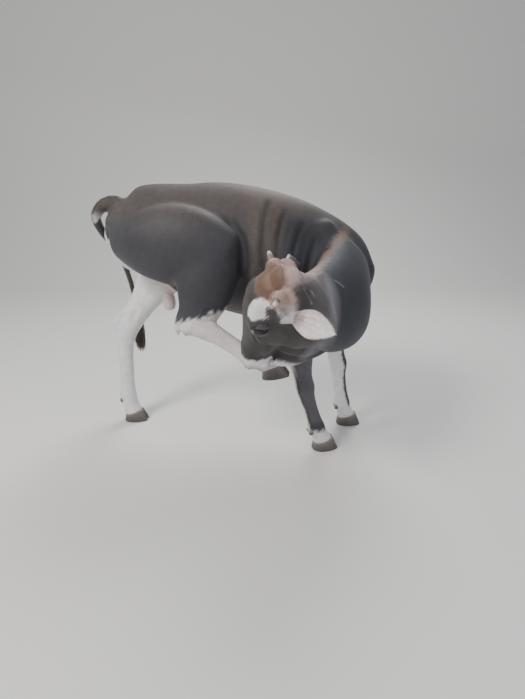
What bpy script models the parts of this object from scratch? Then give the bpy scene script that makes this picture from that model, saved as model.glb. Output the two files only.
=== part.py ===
"""A young brown bull calf, life size, on three feet, its head turned round to its raised hind leg.

Metres, +Z up, +X towards the chest, +Y towards the calf's left side, origin on the floor under the middle.
The flesh is one form: sections carried along the spine, neck, head, legs and tail, melted together by a voxel
remesh, smoothed and thinned out. Thin plates then part it into named nodes a seam apart. Eyes, horn buds and
dewclaws sit in sockets a seam wider than themselves; ears and claws meet flat faces of the head and legs.
"""

import math

import bmesh
import bpy
import numpy as np
from mathutils import Matrix, Vector
from mathutils.bvhtree import BVHTree

# Gap between neighbouring nodes.
SEAM = 0.0003
# Grain of the melt, share of its faces kept, how much the head is spared, and smoothing steps of the trunk.
VOXEL = 0.005
KEPT_SHARE = 0.017
HEAD_FAVOUR = 0.001
BLEND_STEPS = 80
# Radius of the eyeballs, half thickness of the lids, length of the ears, height of the claws.
EYE_RADIUS = 0.0230
LID_THICKNESS = 0.0030
EAR_LENGTH = 0.138
CLAW_HEIGHT = 0.046
# How far the dewclaws sit from the middle line of the foot and behind the fetlock.
DEWCLAW_ASIDE = 0.0165
DEWCLAW_BEHIND = 0.031

# The head's place in the pose: poll, and the directions to the muzzle and out of the forehead.
POLL = Vector((0.037, -0.525, 0.822))
HEAD_FORWARD = Vector((-0.35, 0.45, -0.82))
HEAD_CROWN = Vector((-0.92, -0.22, 0.27))

# The left eye in the head's frame: middle, gaze and the way to its inner corner. The right one mirrors it.
EYE_MIDDLE = (0.128, 0.0895, -0.001)
EYE_GAZE = (0.30, 0.93, 0.18)
EYE_INNER = (0.42, -0.25, 0.87)

# Each ear's way to its tip and the way its cup faces, in the head's frame. The left one is laid back.
EAR_WAYS = {
    1: ((-0.38, 0.65, -0.65), (-0.50, 0.55, 0.60)),
    -1: ((0.45, -0.78, -0.42), (0.50, 0.00, 0.85)),
}

# Feet: the middle of the coronet where the claws begin, the way the toes point and the way down to the sole.
FEET = {
    "fore_leg_right": ((0.259, -0.129, 0.046), (0.95, 0.15, 0.0), (0.0, 0.0, -1.0)),
    "fore_leg_left": ((0.396, 0.108, 0.046), (1.0, -0.02, 0.0), (0.0, 0.0, -1.0)),
    "hind_leg_left": ((-0.617, 0.145, 0.046), (1.0, -0.05, 0.0), (0.0, 0.0, -1.0)),
    "hind_leg_right": ((0.036, -0.246, 0.424), (0.914, -0.105, 0.140), (0.140, -0.040, -0.914)),
}
CORONET_LEAN = 0.30

# Dewclaws: two behind each fetlock. Middle of the fetlock, the way back and the way down.
FETLOCKS = {
    "fore_leg_right": ((0.232, -0.142, 0.105), (-0.95, -0.20, -0.25), (0.35, 0.10, -0.93)),
    "fore_leg_left": ((0.376, 0.107, 0.105), (-0.97, 0.0, -0.25), (0.25, 0.0, -0.97)),
    "hind_leg_left": ((-0.636, 0.147, 0.122), (-0.97, 0.0, -0.22), (0.20, 0.0, -0.97)),
    "hind_leg_right": ((-0.045, -0.235, 0.456), (-0.40, 0.0, -0.92), (0.90, -0.12, -0.38)),
}

# Plates that part the flesh: middle, the way across the cut, and the plate's two half lengths.
PLATES = [
    ((0.290, -0.245, 0.700), (-0.21, -1.0, 0.15), (0.150, 0.270)),
    ((0.187, -0.450, 0.700), (0.925, 0.183, 0.334), (0.195, 0.240)),
    ((0.147, -0.175, 0.470), (0.0, 0.0, 1.0), (0.085, 0.080)),
    ((0.167, -0.171, 0.335), (0.0, 0.0, 1.0), (0.060, 0.060)),
    ((0.315, 0.113, 0.470), (0.0, 0.0, 1.0), (0.085, 0.080)),
    ((0.341, 0.106, 0.335), (0.0, 0.0, 1.0), (0.060, 0.060)),
    ((-0.490, 0.197, 0.610), (-0.6, -0.1, -0.79), (0.120, 0.072)),
    ((-0.630, 0.164, 0.400), (0.0, 0.0, 1.0), (0.060, 0.060)),
    ((-0.236, -0.180, 0.655), (-0.22, -0.2, -0.95), (0.130, 0.075)),
    ((-0.165, -0.216, 0.533), (0.9, -0.14, -0.42), (0.055, 0.055)),
    ((-0.691, 0.100, 0.946), (-0.25, 0.42, -0.87), (0.029, 0.031)),
    ((-0.602, 0.277, 0.545), (0.0, 0.0, 1.0), (0.030, 0.030)),
    ((-0.402, 0.053, 0.655), (0.5, 0.0, 0.866), (0.042, 0.044)),
]

# A point inside each node of the flesh, by which the parted pieces are named.
INSIDE = {
    "torso": (-0.10, 0.06, 0.83),
    "neck": (0.24, -0.32, 0.70),
    "head": (0.01, -0.50, 0.75),
    "fore_leg_right_forearm": (0.155, -0.174, 0.41),
    "fore_leg_right_cannon": (0.200, -0.157, 0.21),
    "fore_leg_left_forearm": (0.325, 0.110, 0.41),
    "fore_leg_left_cannon": (0.360, 0.106, 0.21),
    "hind_leg_left_gaskin": (-0.58, 0.18, 0.505),
    "hind_leg_left_cannon": (-0.635, 0.155, 0.25),
    "hind_leg_right_shank": (-0.245, -0.195, 0.595),
    "hind_leg_right_cannon": (-0.10, -0.226, 0.49),
    "tail": (-0.66, 0.19, 0.82),
    "tail_switch": (-0.605, 0.278, 0.49),
    "scrotum": (-0.40, 0.05, 0.60),
}

# Colours of the nodes: base colour and roughness.
PAINTS = {
    "grey_coat": ((0.105, 0.092, 0.088), 0.75),
    "pale_coat": ((0.60, 0.57, 0.54), 0.80),
    "horn": ((0.30, 0.26, 0.22), 0.45),
    "eye": ((0.012, 0.009, 0.008), 0.06),
}
PALE_NODES = ("ear_left", "ear_right", "hind_leg_left_cannon", "hind_leg_right_cannon", "scrotum")


def flow_through(rows, count):
    """Rows of values as points of one smooth curve: cubic pieces with central slopes.

    The points lie at even steps of the length along the first three columns.
    """
    rows = np.asarray(rows, float)
    steps = np.linalg.norm(np.diff(rows[:, :3], axis=0), axis=1)
    reach = np.concatenate([[0.0], np.cumsum(steps)])
    at = np.linspace(0.0, reach[-1], count)
    slope = np.gradient(rows, reach, axis=0)
    i = np.clip(np.searchsorted(reach, at, "right") - 1, 0, len(rows) - 2)
    span = (reach[i + 1] - reach[i])[:, None]
    t = (at - reach[i])[:, None] / span
    return (
        (2 * t**3 - 3 * t**2 + 1) * rows[i]
        + (t**3 - 2 * t**2 + t) * span * slope[i]
        + (3 * t**2 - 2 * t**3) * rows[i + 1]
        + (t**3 - t**2) * span * slope[i + 1]
    )


def unit(rows):
    """Each row as a direction of length one."""
    return rows / np.linalg.norm(rows, axis=-1, keepdims=True)


def limb(name, rows, up=(0, 0, 1), rings=24, sides=24, dome=0.6, full=1.0):
    """A closed limb with a dome at each end.

    Each row is a section: centre x, y, z, half width, half height above the centre and below it, and at
    will a seventh value that narrows the upper half to a ridge. Sections are ellipses square to the path with
    their height along up, which is one direction or one for each row. A full value under 1 makes them squarer.
    """
    rows = np.asarray(rows, float)
    if rows.shape[1] == 6:
        rows = np.hstack([rows, np.zeros((len(rows), 1))])
    up = np.asarray(up, float)
    up = np.tile(up, (len(rows), 1)) if up.ndim == 1 else up
    made = flow_through(np.hstack([rows, up]), rings)
    centre, size, hint = made[:, :3], made[:, 3:7], made[:, 7:]
    along = unit(np.gradient(centre, axis=0))
    above = unit(hint - (hint * along).sum(1, keepdims=True) * along)
    aside = np.cross(above, along)
    turns = np.radians([75, 50, 25])
    depth = dome * np.minimum(size[:, 0], size[:, 1])
    start = [(0, -math.sin(a) * depth[0], math.cos(a)) for a in turns]
    end = [(-1, math.sin(a) * depth[-1], math.cos(a)) for a in turns[::-1]]
    order = start + [(k, 0.0, 1.0) for k in range(rings)] + end
    k = np.array([o[0] for o in order])
    shift = np.array([o[1] for o in order])[:, None]
    scale = np.array([o[2] for o in order])[:, None]
    angle = np.linspace(0, 2 * math.pi, sides, endpoint=False)[None, :]
    rise = np.sign(np.sin(angle)) * np.abs(np.sin(angle)) ** full
    reach = np.sign(np.cos(angle)) * np.abs(np.cos(angle)) ** full
    wide = size[k, 0:1] * reach * (1 - size[k, 3:4] * np.clip(rise, 0, 1) ** 1.5) * scale
    tall = np.where(rise > 0, size[k, 1:2], size[k, 2:3]) * rise * scale
    middle = centre[k] + along[k] * shift
    points = middle[:, None] + aside[k][:, None] * wide[..., None] + above[k][:, None] * tall[..., None]
    tips = np.array([centre[0] - along[0] * depth[0], centre[-1] + along[-1] * depth[-1]])
    return solid_grid(name, points, tips)


def solid_grid(name, points, tips):
    """A closed mesh from rings of points and the two points that close its ends."""
    rings, sides = points.shape[:2]
    ring = np.arange(rings * sides).reshape(rings, sides)
    after = np.roll(ring, -1, axis=1)
    quads = np.stack([ring[:-1], after[:-1], after[1:], ring[1:]], axis=-1).reshape(-1, 4).tolist()
    first, last = rings * sides, rings * sides + 1
    fans = [(first, b, a) for a, b in zip(ring[0].tolist(), after[0].tolist())]
    fans += [(last, a, b) for a, b in zip(ring[-1].tolist(), after[-1].tolist())]
    mesh = bpy.data.meshes.new(name)
    mesh.from_pydata(np.vstack([points.reshape(-1, 3), tips]).tolist(), [], quads + fans)
    mesh.update()
    return bpy.data.objects.new(name, mesh)


def muscle(name, centre, radii, toward=(1, 0, 0), crown=(0, 0, 1), sides=24):
    """An ellipsoid with its radii along toward, across it and along crown."""
    x = Vector(toward).normalized()
    z = Vector(crown)
    z = (z - z.dot(x) * x).normalized()
    y = z.cross(x)
    turn = Matrix((x, y, z)).transposed().to_4x4()
    mesh = bpy.data.meshes.new(name)
    shape = bmesh.new()
    bmesh.ops.create_uvsphere(shape, u_segments=sides, v_segments=sides // 2, radius=1.0)
    shape.transform(Matrix.Translation(centre) @ turn @ Matrix.Diagonal((*radii, 1.0)))
    shape.to_mesh(mesh)
    shape.free()
    return bpy.data.objects.new(name, mesh)


def torso_forms():
    """The barrel from buttocks to breast, bent a little to the right, with shoulder blades and hip bones."""
    spine = [
        # x, y, middle height, half width, height above and below the middle, ridge of the back
        (-0.602, 0.072, 0.930, 0.080, 0.085, 0.100, 0.00),
        (-0.565, 0.075, 0.920, 0.130, 0.145, 0.160, 0.05),
        (-0.480, 0.078, 0.905, 0.160, 0.190, 0.185, 0.10),
        (-0.390, 0.078, 0.885, 0.175, 0.212, 0.197, 0.05),
        (-0.280, 0.075, 0.860, 0.188, 0.240, 0.243, 0.10),
        (-0.130, 0.070, 0.845, 0.202, 0.250, 0.280, 0.15),
        (0.020, 0.058, 0.820, 0.210, 0.245, 0.290, 0.25),
        (0.150, 0.036, 0.785, 0.198, 0.235, 0.280, 0.35),
        (0.255, 0.010, 0.755, 0.172, 0.210, 0.265, 0.45),
        (0.335, -0.015, 0.720, 0.130, 0.175, 0.225, 0.30),
        (0.390, -0.035, 0.690, 0.080, 0.120, 0.150, 0.00),
    ]
    forms = [limb("barrel", spine, rings=40, sides=36)]
    blades = {
        "right": [(0.200, -0.060, 0.930), (0.265, -0.125, 0.780), (0.300, -0.160, 0.660)],
        "left": [(0.225, 0.060, 0.930), (0.320, 0.095, 0.790), (0.365, 0.085, 0.670)],
    }
    for side, (top, middle, point) in blades.items():
        rows = [(*top, 0.020, 0.080, 0.080), (*middle, 0.032, 0.100, 0.100), (*point, 0.042, 0.080, 0.080)]
        forms.append(limb("blade_" + side, rows, up=(1, 0, 0.4), rings=12))
    for side in (-1, 1):
        forms.append(muscle("hip", (-0.362, 0.078 + 0.128 * side, 0.985), (0.075, 0.045, 0.045), (1, 0, 0.1)))
        forms.append(muscle("pin", (-0.585, 0.072 + 0.055 * side, 0.945), (0.050, 0.042, 0.045), (1, 0, 0.3)))
    return forms


def fore_leg_forms():
    """Both front legs from the shoulder's point to the coronet, each with its upper arm."""
    legs = {
        "right": dict(
            point=(0.295, -0.160, 0.650), elbow=(0.130, -0.175, 0.560), forearm=(0.150, -0.175, 0.440),
            knee=(0.172, -0.170, 0.300), fetlock=(0.232, -0.142, 0.105), foot=(0.257, -0.130, 0.045),
        ),
        "left": dict(
            point=(0.372, 0.090, 0.660), elbow=(0.295, 0.120, 0.560), forearm=(0.318, 0.112, 0.440),
            knee=(0.345, 0.105, 0.300), fetlock=(0.376, 0.107, 0.105), foot=(0.395, 0.108, 0.045),
        ),
    }
    forms = []
    for side, j in legs.items():
        j = {k: np.array(v) for k, v in j.items()}
        upper_arm = [
            (*j["point"], 0.050, 0.065, 0.065),
            (*(0.5 * (j["point"] + j["elbow"])), 0.060, 0.080, 0.080),
            (*j["elbow"], 0.050, 0.070, 0.060),
        ]
        forms.append(limb("arm_" + side, upper_arm, up=(0, 0, 1), rings=12))
        shin = j["knee"] + 0.5 * (j["fetlock"] - j["knee"])
        below_knee = j["knee"] + 0.22 * (j["fetlock"] - j["knee"])
        above_fetlock = j["knee"] + 0.82 * (j["fetlock"] - j["knee"])
        above_knee = j["knee"] + 0.30 * (j["forearm"] - j["knee"])
        pastern = 0.5 * (j["fetlock"] + j["foot"])
        rows = [
            (*(j["elbow"] + (0, 0, 0.05)), 0.055, 0.075, 0.085),
            (*j["elbow"], 0.052, 0.072, 0.078),
            (*j["forearm"], 0.043, 0.054, 0.054),
            (*above_knee, 0.035, 0.039, 0.039),
            (*j["knee"], 0.038, 0.044, 0.038),
            (*below_knee, 0.031, 0.033, 0.036),
            (*shin, 0.026, 0.029, 0.033),
            (*above_fetlock, 0.029, 0.031, 0.036),
            (*j["fetlock"], 0.035, 0.036, 0.042),
            (*pastern, 0.034, 0.033, 0.036),
            (*j["foot"], 0.039, 0.042, 0.042),
            (*(j["foot"] + 0.5 * (j["foot"] - pastern)), 0.040, 0.044, 0.044),
        ]
        forms.append(limb("fore_" + side, rows, up=(1, 0, 0), rings=40))
    return forms


def hind_leg_forms():
    """The standing left hind leg, the folded right one with its thigh, and the cords of both heels."""
    left = [
        (-0.440, 0.150, 0.930, 0.070, 0.120, 0.110),
        (-0.435, 0.185, 0.810, 0.072, 0.140, 0.130),
        (-0.440, 0.200, 0.700, 0.062, 0.104, 0.125),
        (-0.500, 0.195, 0.600, 0.050, 0.056, 0.100),
        (-0.585, 0.178, 0.500, 0.038, 0.050, 0.056),
        (-0.625, 0.168, 0.435, 0.037, 0.048, 0.050),
        (-0.633, 0.160, 0.370, 0.031, 0.037, 0.042),
        (-0.635, 0.155, 0.270, 0.028, 0.033, 0.036),
        (-0.637, 0.150, 0.170, 0.031, 0.034, 0.038),
        (-0.636, 0.147, 0.122, 0.036, 0.038, 0.043),
        (-0.628, 0.146, 0.085, 0.035, 0.035, 0.038),
        (-0.618, 0.145, 0.045, 0.040, 0.042, 0.042),
        (-0.613, 0.145, 0.025, 0.041, 0.044, 0.044),
    ]
    forms = [limb("hind_left", left, up=(1, 0, 0), rings=48)]
    heel = [
        (-0.560, 0.190, 0.600, 0.020, 0.022, 0.022),
        (-0.625, 0.175, 0.530, 0.016, 0.018, 0.018),
        (-0.668, 0.168, 0.476, 0.020, 0.020, 0.020),
        (-0.640, 0.165, 0.430, 0.024, 0.024, 0.024),
    ]
    forms.append(limb("heel_left", heel, up=(1, 0, 0), rings=14, sides=16))
    thigh = [
        (-0.560, 0.015, 0.890, 0.080, 0.085, 0.110),
        (-0.460, -0.035, 0.882, 0.110, 0.125, 0.152),
        (-0.340, -0.078, 0.872, 0.118, 0.152, 0.172),
        (-0.230, -0.115, 0.850, 0.100, 0.145, 0.160),
        (-0.140, -0.135, 0.820, 0.070, 0.110, 0.120),
    ]
    forms.append(limb("thigh_right", thigh, up=(0, 0, 1), rings=20, sides=28))
    shank = [
        (-0.195, -0.130, 0.860, 0.075, 0.110, 0.115),
        (-0.210, -0.150, 0.770, 0.070, 0.125, 0.125),
        (-0.228, -0.172, 0.690, 0.058, 0.115, 0.110),
        (-0.245, -0.188, 0.620, 0.045, 0.085, 0.080),
        (-0.252, -0.198, 0.570, 0.040, 0.060, 0.060),
    ]
    forms.append(limb("shank_right", shank, up=(1, 0, 0), rings=20))
    heel = [
        (-0.285, -0.180, 0.670, 0.025, 0.028, 0.028),
        (-0.318, -0.195, 0.600, 0.020, 0.020, 0.020),
        (-0.322, -0.202, 0.556, 0.022, 0.022, 0.022),
        (-0.280, -0.203, 0.563, 0.030, 0.030, 0.030),
    ]
    forms.append(limb("heel_right", heel, up=(1, 0, 0), rings=14, sides=16))
    cannon = [
        (-0.270, -0.200, 0.573, 0.038, 0.050, 0.040),
        (-0.215, -0.208, 0.556, 0.037, 0.046, 0.042),
        (-0.160, -0.217, 0.529, 0.031, 0.036, 0.037),
        (-0.100, -0.226, 0.492, 0.029, 0.033, 0.036),
        (-0.045, -0.235, 0.456, 0.035, 0.037, 0.041),
        (-0.005, -0.241, 0.438, 0.034, 0.035, 0.037),
        (0.035, -0.246, 0.424, 0.039, 0.042, 0.042),
        (0.055, -0.249, 0.416, 0.040, 0.044, 0.044),
    ]
    forms.append(limb("cannon_right", cannon, up=(0.45, 0, 1), rings=28))
    return forms


def neck_forms():
    """The neck from the shoulders round to the back of the head, its crest leaning in towards the flank."""
    rows = [
        (0.200, 0.010, 0.760, 0.150, 0.190, 0.220),
        (0.300, -0.080, 0.742, 0.120, 0.165, 0.205),
        (0.297, -0.210, 0.714, 0.100, 0.150, 0.195),
        (0.240, -0.320, 0.699, 0.088, 0.137, 0.185),
        (0.170, -0.408, 0.709, 0.080, 0.117, 0.165),
        (0.120, -0.470, 0.740, 0.075, 0.100, 0.130),
        (0.085, -0.490, 0.745, 0.070, 0.090, 0.100),
    ]
    up = [
        (0, 0, 1),
        (-0.15, 0, 1),
        (-0.35, 0, 0.94),
        (-0.5, -0.05, 0.86),
        (-0.6, -0.1, 0.79),
        (-0.75, -0.2, 0.6),
        (-0.8, -0.25, 0.5),
    ]
    throat = [
        (0.200, -0.340, 0.600, 0.060, 0.080, 0.075),
        (0.135, -0.400, 0.590, 0.055, 0.080, 0.070),
        (0.080, -0.430, 0.600, 0.045, 0.070, 0.060),
    ]
    fold = [
        (0.245, -0.300, 0.585, 0.045, 0.060, 0.060),
        (0.190, -0.350, 0.552, 0.042, 0.060, 0.052),
        (0.140, -0.372, 0.530, 0.036, 0.060, 0.044),
        (0.092, -0.388, 0.513, 0.030, 0.055, 0.038),
        (0.050, -0.400, 0.512, 0.026, 0.050, 0.030),
    ]
    return [
        limb("neck", rows, up=up, rings=32, sides=32),
        limb("throat", throat, up=(-0.5, 0, 0.86), rings=10, sides=20),
        limb("throat_fold", fold, up=(-0.2, 0.1, 1.0), rings=14, sides=20),
    ]


def head_matrix():
    """The head's frame: x from the poll to the muzzle, y to the head's left, z out of the forehead."""
    x = HEAD_FORWARD.normalized()
    z = (HEAD_CROWN - HEAD_CROWN.dot(x) * x).normalized()
    y = z.cross(x)
    return Matrix.Translation(POLL) @ Matrix((x, y, z)).transposed().to_4x4()


def head_forms():
    """The head in its own frame, carried into the pose."""
    skull = [
        # along, middle height, half width, height above and below
        (-0.014, -0.045, 0.066, 0.045, 0.045),
        (0.012, -0.050, 0.090, 0.078, 0.066),
        (0.050, -0.055, 0.096, 0.108, 0.090),
        (0.095, -0.060, 0.099, 0.121, 0.096),
        (0.148, -0.062, 0.099, 0.118, 0.092),
        (0.190, -0.062, 0.090, 0.104, 0.080),
        (0.235, -0.062, 0.073, 0.088, 0.066),
        (0.282, -0.062, 0.062, 0.073, 0.056),
        (0.328, -0.062, 0.060, 0.062, 0.051),
        (0.362, -0.064, 0.061, 0.050, 0.046),
        (0.384, -0.068, 0.054, 0.036, 0.036),
    ]
    jaw = [
        (0.060, -0.158, 0.052, 0.060, 0.047),
        (0.100, -0.170, 0.067, 0.070, 0.057),
        (0.155, -0.172, 0.068, 0.075, 0.056),
        (0.215, -0.162, 0.060, 0.064, 0.050),
        (0.270, -0.148, 0.053, 0.050, 0.044),
        (0.315, -0.137, 0.048, 0.038, 0.038),
        (0.346, -0.128, 0.044, 0.027, 0.034),
        (0.366, -0.121, 0.036, 0.019, 0.026),
    ]
    skull = [(a, 0, n, w, up, down) for a, n, w, up, down in skull]
    jaw = [(a, 0, n, w, up, down) for a, n, w, up, down in jaw]
    forms = [
        limb("skull", skull, rings=32, sides=32, dome=0.45, full=0.82),
        limb("jaw", jaw, rings=24, sides=24, dome=0.5, full=0.9),
    ]
    for side in (-1, 1):
        pairs = {
            "masseter": ((0.120, 0.066 * side, -0.135), (0.095, 0.038, 0.090)),
            "orbit": ((0.132, 0.080 * side, 0.000), (0.048, 0.028, 0.040)),
            "brow": ((0.110, 0.058 * side, 0.022), (0.060, 0.030, 0.030)),
            "crest": ((0.215, 0.066 * side, -0.066), (0.075, 0.014, 0.016)),
            "nostril_wing": ((0.364, 0.040 * side, -0.045), (0.028, 0.025, 0.025)),
            "lip": ((0.358, 0.034 * side, -0.096), (0.038, 0.031, 0.019)),
            "bud_root": ((0.010, 0.078 * side, -0.010), (0.030, 0.022, 0.028)),
            "ear_root": ((0.042, 0.096 * side, -0.070), (0.028, 0.032, 0.028)),
        }
        for name, (centre, radii) in pairs.items():
            forms.append(muscle(name + str(side), centre, radii))
    forms.append(muscle("nose_pad", (0.388, 0, -0.060), (0.017, 0.045, 0.034)))
    forms.append(muscle("chin", (0.345, 0, -0.140), (0.036, 0.036, 0.024)))
    matrix = head_matrix()
    for form in forms:
        form.data.transform(matrix)
    return forms


def tail_forms():
    """The tail from the rump out and down behind the left leg, and the purse between the hind legs."""
    tail = [
        (-0.585, 0.070, 1.018, 0.034, 0.032, 0.032),
        (-0.650, 0.075, 1.006, 0.030, 0.027, 0.027),
        (-0.690, 0.090, 0.963, 0.025, 0.023, 0.023),
        (-0.684, 0.135, 0.893, 0.020, 0.019, 0.019),
        (-0.652, 0.195, 0.820, 0.015, 0.015, 0.015),
        (-0.628, 0.248, 0.720, 0.014, 0.014, 0.014),
        (-0.608, 0.274, 0.600, 0.013, 0.013, 0.013),
        (-0.602, 0.278, 0.500, 0.012, 0.012, 0.012),
        (-0.602, 0.276, 0.430, 0.010, 0.010, 0.010),
    ]
    purse = [
        (-0.405, 0.050, 0.700, 0.030, 0.040, 0.034),
        (-0.403, 0.050, 0.655, 0.023, 0.024, 0.024),
        (-0.400, 0.050, 0.612, 0.033, 0.030, 0.030),
        (-0.398, 0.050, 0.582, 0.029, 0.026, 0.026),
    ]
    return [
        limb("tail", tail, up=(1, 0.2, 0.3), rings=36, sides=16),
        limb("purse", purse, up=(1, 0, 0), rings=12, sides=16),
    ]


def joined(name, forms):
    """The forms as one mesh object, still overlapping."""
    shape = bmesh.new()
    for form in forms:
        shape.from_mesh(form.data)
        bpy.data.objects.remove(form)
    mesh = bpy.data.meshes.new(name)
    shape.to_mesh(mesh)
    shape.free()
    made = bpy.data.objects.new(name, mesh)
    bpy.context.scene.collection.objects.link(made)
    return made


def apply_modifiers(obj):
    """Gives the object the mesh that its modifiers make."""
    graph = bpy.context.evaluated_depsgraph_get()
    mesh = bpy.data.meshes.new_from_object(obj.evaluated_get(graph))
    obj.modifiers.clear()
    obj.data = mesh


def melted_flesh():
    """All the flesh as one closed surface, thinned out less on the head than elsewhere."""
    forms = torso_forms() + fore_leg_forms() + hind_leg_forms() + neck_forms() + head_forms() + tail_forms()
    flesh = joined("flesh", forms)
    remesh = flesh.modifiers.new("melt", "REMESH")
    remesh.mode = "VOXEL"
    remesh.voxel_size = VOXEL
    smooth = flesh.modifiers.new("smooth", "SMOOTH")
    smooth.factor = 0.5
    smooth.iterations = 8
    apply_modifiers(flesh)
    blend_body(flesh)
    to_head = head_matrix().inverted()
    fine = flesh.vertex_groups.new(name="thin_out")
    for vertex in flesh.data.vertices:
        at = to_head @ vertex.co
        on_head = -0.05 < at.x < 0.42 and abs(at.y) < 0.15 and at.z > -0.24
        fine.add([vertex.index], 0.5 if on_head else 1.0, "REPLACE")
    thin = flesh.modifiers.new("thin", "DECIMATE")
    thin.ratio = KEPT_SHARE
    thin.vertex_group = "thin_out"
    thin.vertex_group_factor = HEAD_FAVOUR
    apply_modifiers(flesh)
    return flesh


def blend_body(flesh):
    """Runs the muscles of trunk and neck softly into one another; head, legs and tail stay as they are."""
    to_head = np.array(head_matrix().inverted())
    points = np.empty(len(flesh.data.vertices) * 3)
    flesh.data.vertices.foreach_get("co", points)
    points = points.reshape(-1, 3)
    x, y, z = points.T
    a, l, n = (points @ to_head[:3, :3].T + to_head[:3, 3]).T
    head = np.clip((0.22 - np.sqrt(((a - 0.13) / 1.3) ** 2 + l**2 + (n + 0.06) ** 2)) / 0.04, 0, 1)
    trunk = np.clip((z - 0.60) / 0.10, 0, 1)
    tail = np.clip((-0.59 - x) / 0.03, 0, 1)
    tail = tail + np.clip((-0.55 - x) / 0.03, 0, 1) * np.clip((y - 0.20) / 0.03, 0, 1)
    share = trunk * (1 - head) * np.clip(1 - tail, 0, 1)
    group = flesh.vertex_groups.new(name="trunk")
    for index in np.flatnonzero(share > 0).tolist():
        group.add([index], float(share[index]), "REPLACE")
    blend = flesh.modifiers.new("blend", "SMOOTH")
    blend.factor = 0.7
    blend.iterations = BLEND_STEPS
    blend.vertex_group = "trunk"
    apply_modifiers(flesh)


def plate(name, middle, across, half):
    """A thin plate square to across, as wide as its two half lengths."""
    z = Vector(across).normalized()
    x = Vector((1, 0, 0)) if abs(z.x) < 0.8 else Vector((0, 1, 0))
    x = (x - x.dot(z) * z).normalized()
    y = z.cross(x)
    turn = Matrix((x, y, z)).transposed().to_4x4()
    return box(name, Matrix.Translation(middle) @ turn, (half[0], half[1], SEAM / 2))


def box(name, matrix, half):
    """A box with three half lengths, carried by a matrix."""
    mesh = bpy.data.meshes.new(name)
    shape = bmesh.new()
    bmesh.ops.create_cube(shape, size=2.0)
    shape.transform(matrix @ Matrix.Diagonal((*half, 1.0)))
    if shape.calc_volume(signed=True) < 0:
        bmesh.ops.reverse_faces(shape, faces=shape.faces)
    shape.to_mesh(mesh)
    shape.free()
    return bpy.data.objects.new(name, mesh)


def carve(body, tools, operation="DIFFERENCE", solver="MANIFOLD"):
    """One Boolean of the body with all the tools, which are removed after it."""
    group = bpy.data.collections.new("tools")
    bpy.context.scene.collection.children.link(group)
    for tool in tools:
        group.objects.link(tool)
    step = body.modifiers.new("carve", "BOOLEAN")
    step.operation = operation
    step.solver = solver
    step.operand_type = "COLLECTION"
    step.collection = group
    apply_modifiers(body)
    for tool in tools:
        bpy.data.objects.remove(tool)
    bpy.data.collections.remove(group)


def islands(body):
    """The loose closed pieces of a mesh, each as a mesh of its own, largest first."""
    shape = bmesh.new()
    shape.from_mesh(body.data)
    left = set(shape.faces)
    found = []
    while left:
        stack = [left.pop()]
        piece = []
        while stack:
            face = stack.pop()
            piece.append(face)
            for edge in face.edges:
                for other in edge.link_faces:
                    if other in left:
                        left.remove(other)
                        stack.append(other)
        copy = bmesh.new()
        known = {}
        for face in piece:
            corners = []
            for vertex in face.verts:
                if vertex not in known:
                    known[vertex] = copy.verts.new(vertex.co)
                corners.append(known[vertex])
            copy.faces.new(corners)
        copy.normal_update()
        found.append(copy)
    shape.free()
    found.sort(key=lambda piece: -abs(piece.calc_volume()))
    return found


def into_triangles(shape):
    """Parts all faces into triangles, then takes out flaps: faces back to back on the same corners."""
    bmesh.ops.triangulate(shape, faces=shape.faces, ngon_method="EAR_CLIP")
    seen = {}
    for face in shape.faces:
        seen.setdefault(frozenset(face.verts), []).append(face)
    flaps = [face for same in seen.values() if len(same) > 1 for face in same]
    bmesh.ops.delete(shape, geom=flaps, context="FACES")
    loose = [vertex for vertex in shape.verts if not vertex.link_faces]
    bmesh.ops.delete(shape, geom=loose, context="VERTS")


def object_of(name, shape):
    """An object in the scene from an edit mesh, in triangles."""
    mesh = bpy.data.meshes.new(name)
    into_triangles(shape)
    shape.to_mesh(mesh)
    shape.free()
    made = bpy.data.objects.new(name, mesh)
    bpy.context.scene.collection.objects.link(made)
    return made


def keep_largest(body):
    """Leaves an object only the largest of its closed pieces, in triangles."""
    pieces = islands(body)
    mesh = bpy.data.meshes.new(body.name)
    into_triangles(pieces[0])
    pieces[0].to_mesh(mesh)
    body.data = mesh
    for piece in pieces:
        piece.free()


def eye_frames():
    """For each eye its middle, the way it looks, the way to its inner corner and the way up."""
    matrix = head_matrix()
    turn = matrix.to_3x3()
    frames = {}
    for name, side in (("left", 1), ("right", -1)):
        middle, out, inner = (Vector((a, l * side, n)) for a, l, n in (EYE_MIDDLE, EYE_GAZE, EYE_INNER))
        middle = matrix @ middle
        out = (turn @ out).normalized()
        inner = turn @ inner
        inner = (inner - inner.dot(out) * out).normalized()
        up = out.cross(inner) * -side
        frames[name] = (middle, out, inner, up)
    return frames


def lid_forms():
    """Upper and lower lids: soft ridges on the ball, meeting in the two corners of the eye."""
    forms = []
    for name, (middle, out, inner, up) in eye_frames().items():
        for lid, lift in (("upper", 0.62), ("lower", -0.50)):
            rows = []
            for step in np.linspace(-1, 1, 9):
                turn = step * 1.15
                rise = lift * (1 - step**2) ** 0.6
                way = out * math.cos(turn) * math.cos(rise) + inner * math.sin(turn) + up * math.sin(rise)
                at = middle + way.normalized() * (EYE_RADIUS + 0.4 * LID_THICKNESS)
                thick = LID_THICKNESS * (1 + 0.33 * (1 - step**2))
                rows.append((*at, thick, thick * 0.8, thick * 0.8))
            forms.append(limb(lid + "_lid_" + name, rows, up=tuple(out), rings=10, sides=8))
    return forms


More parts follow.
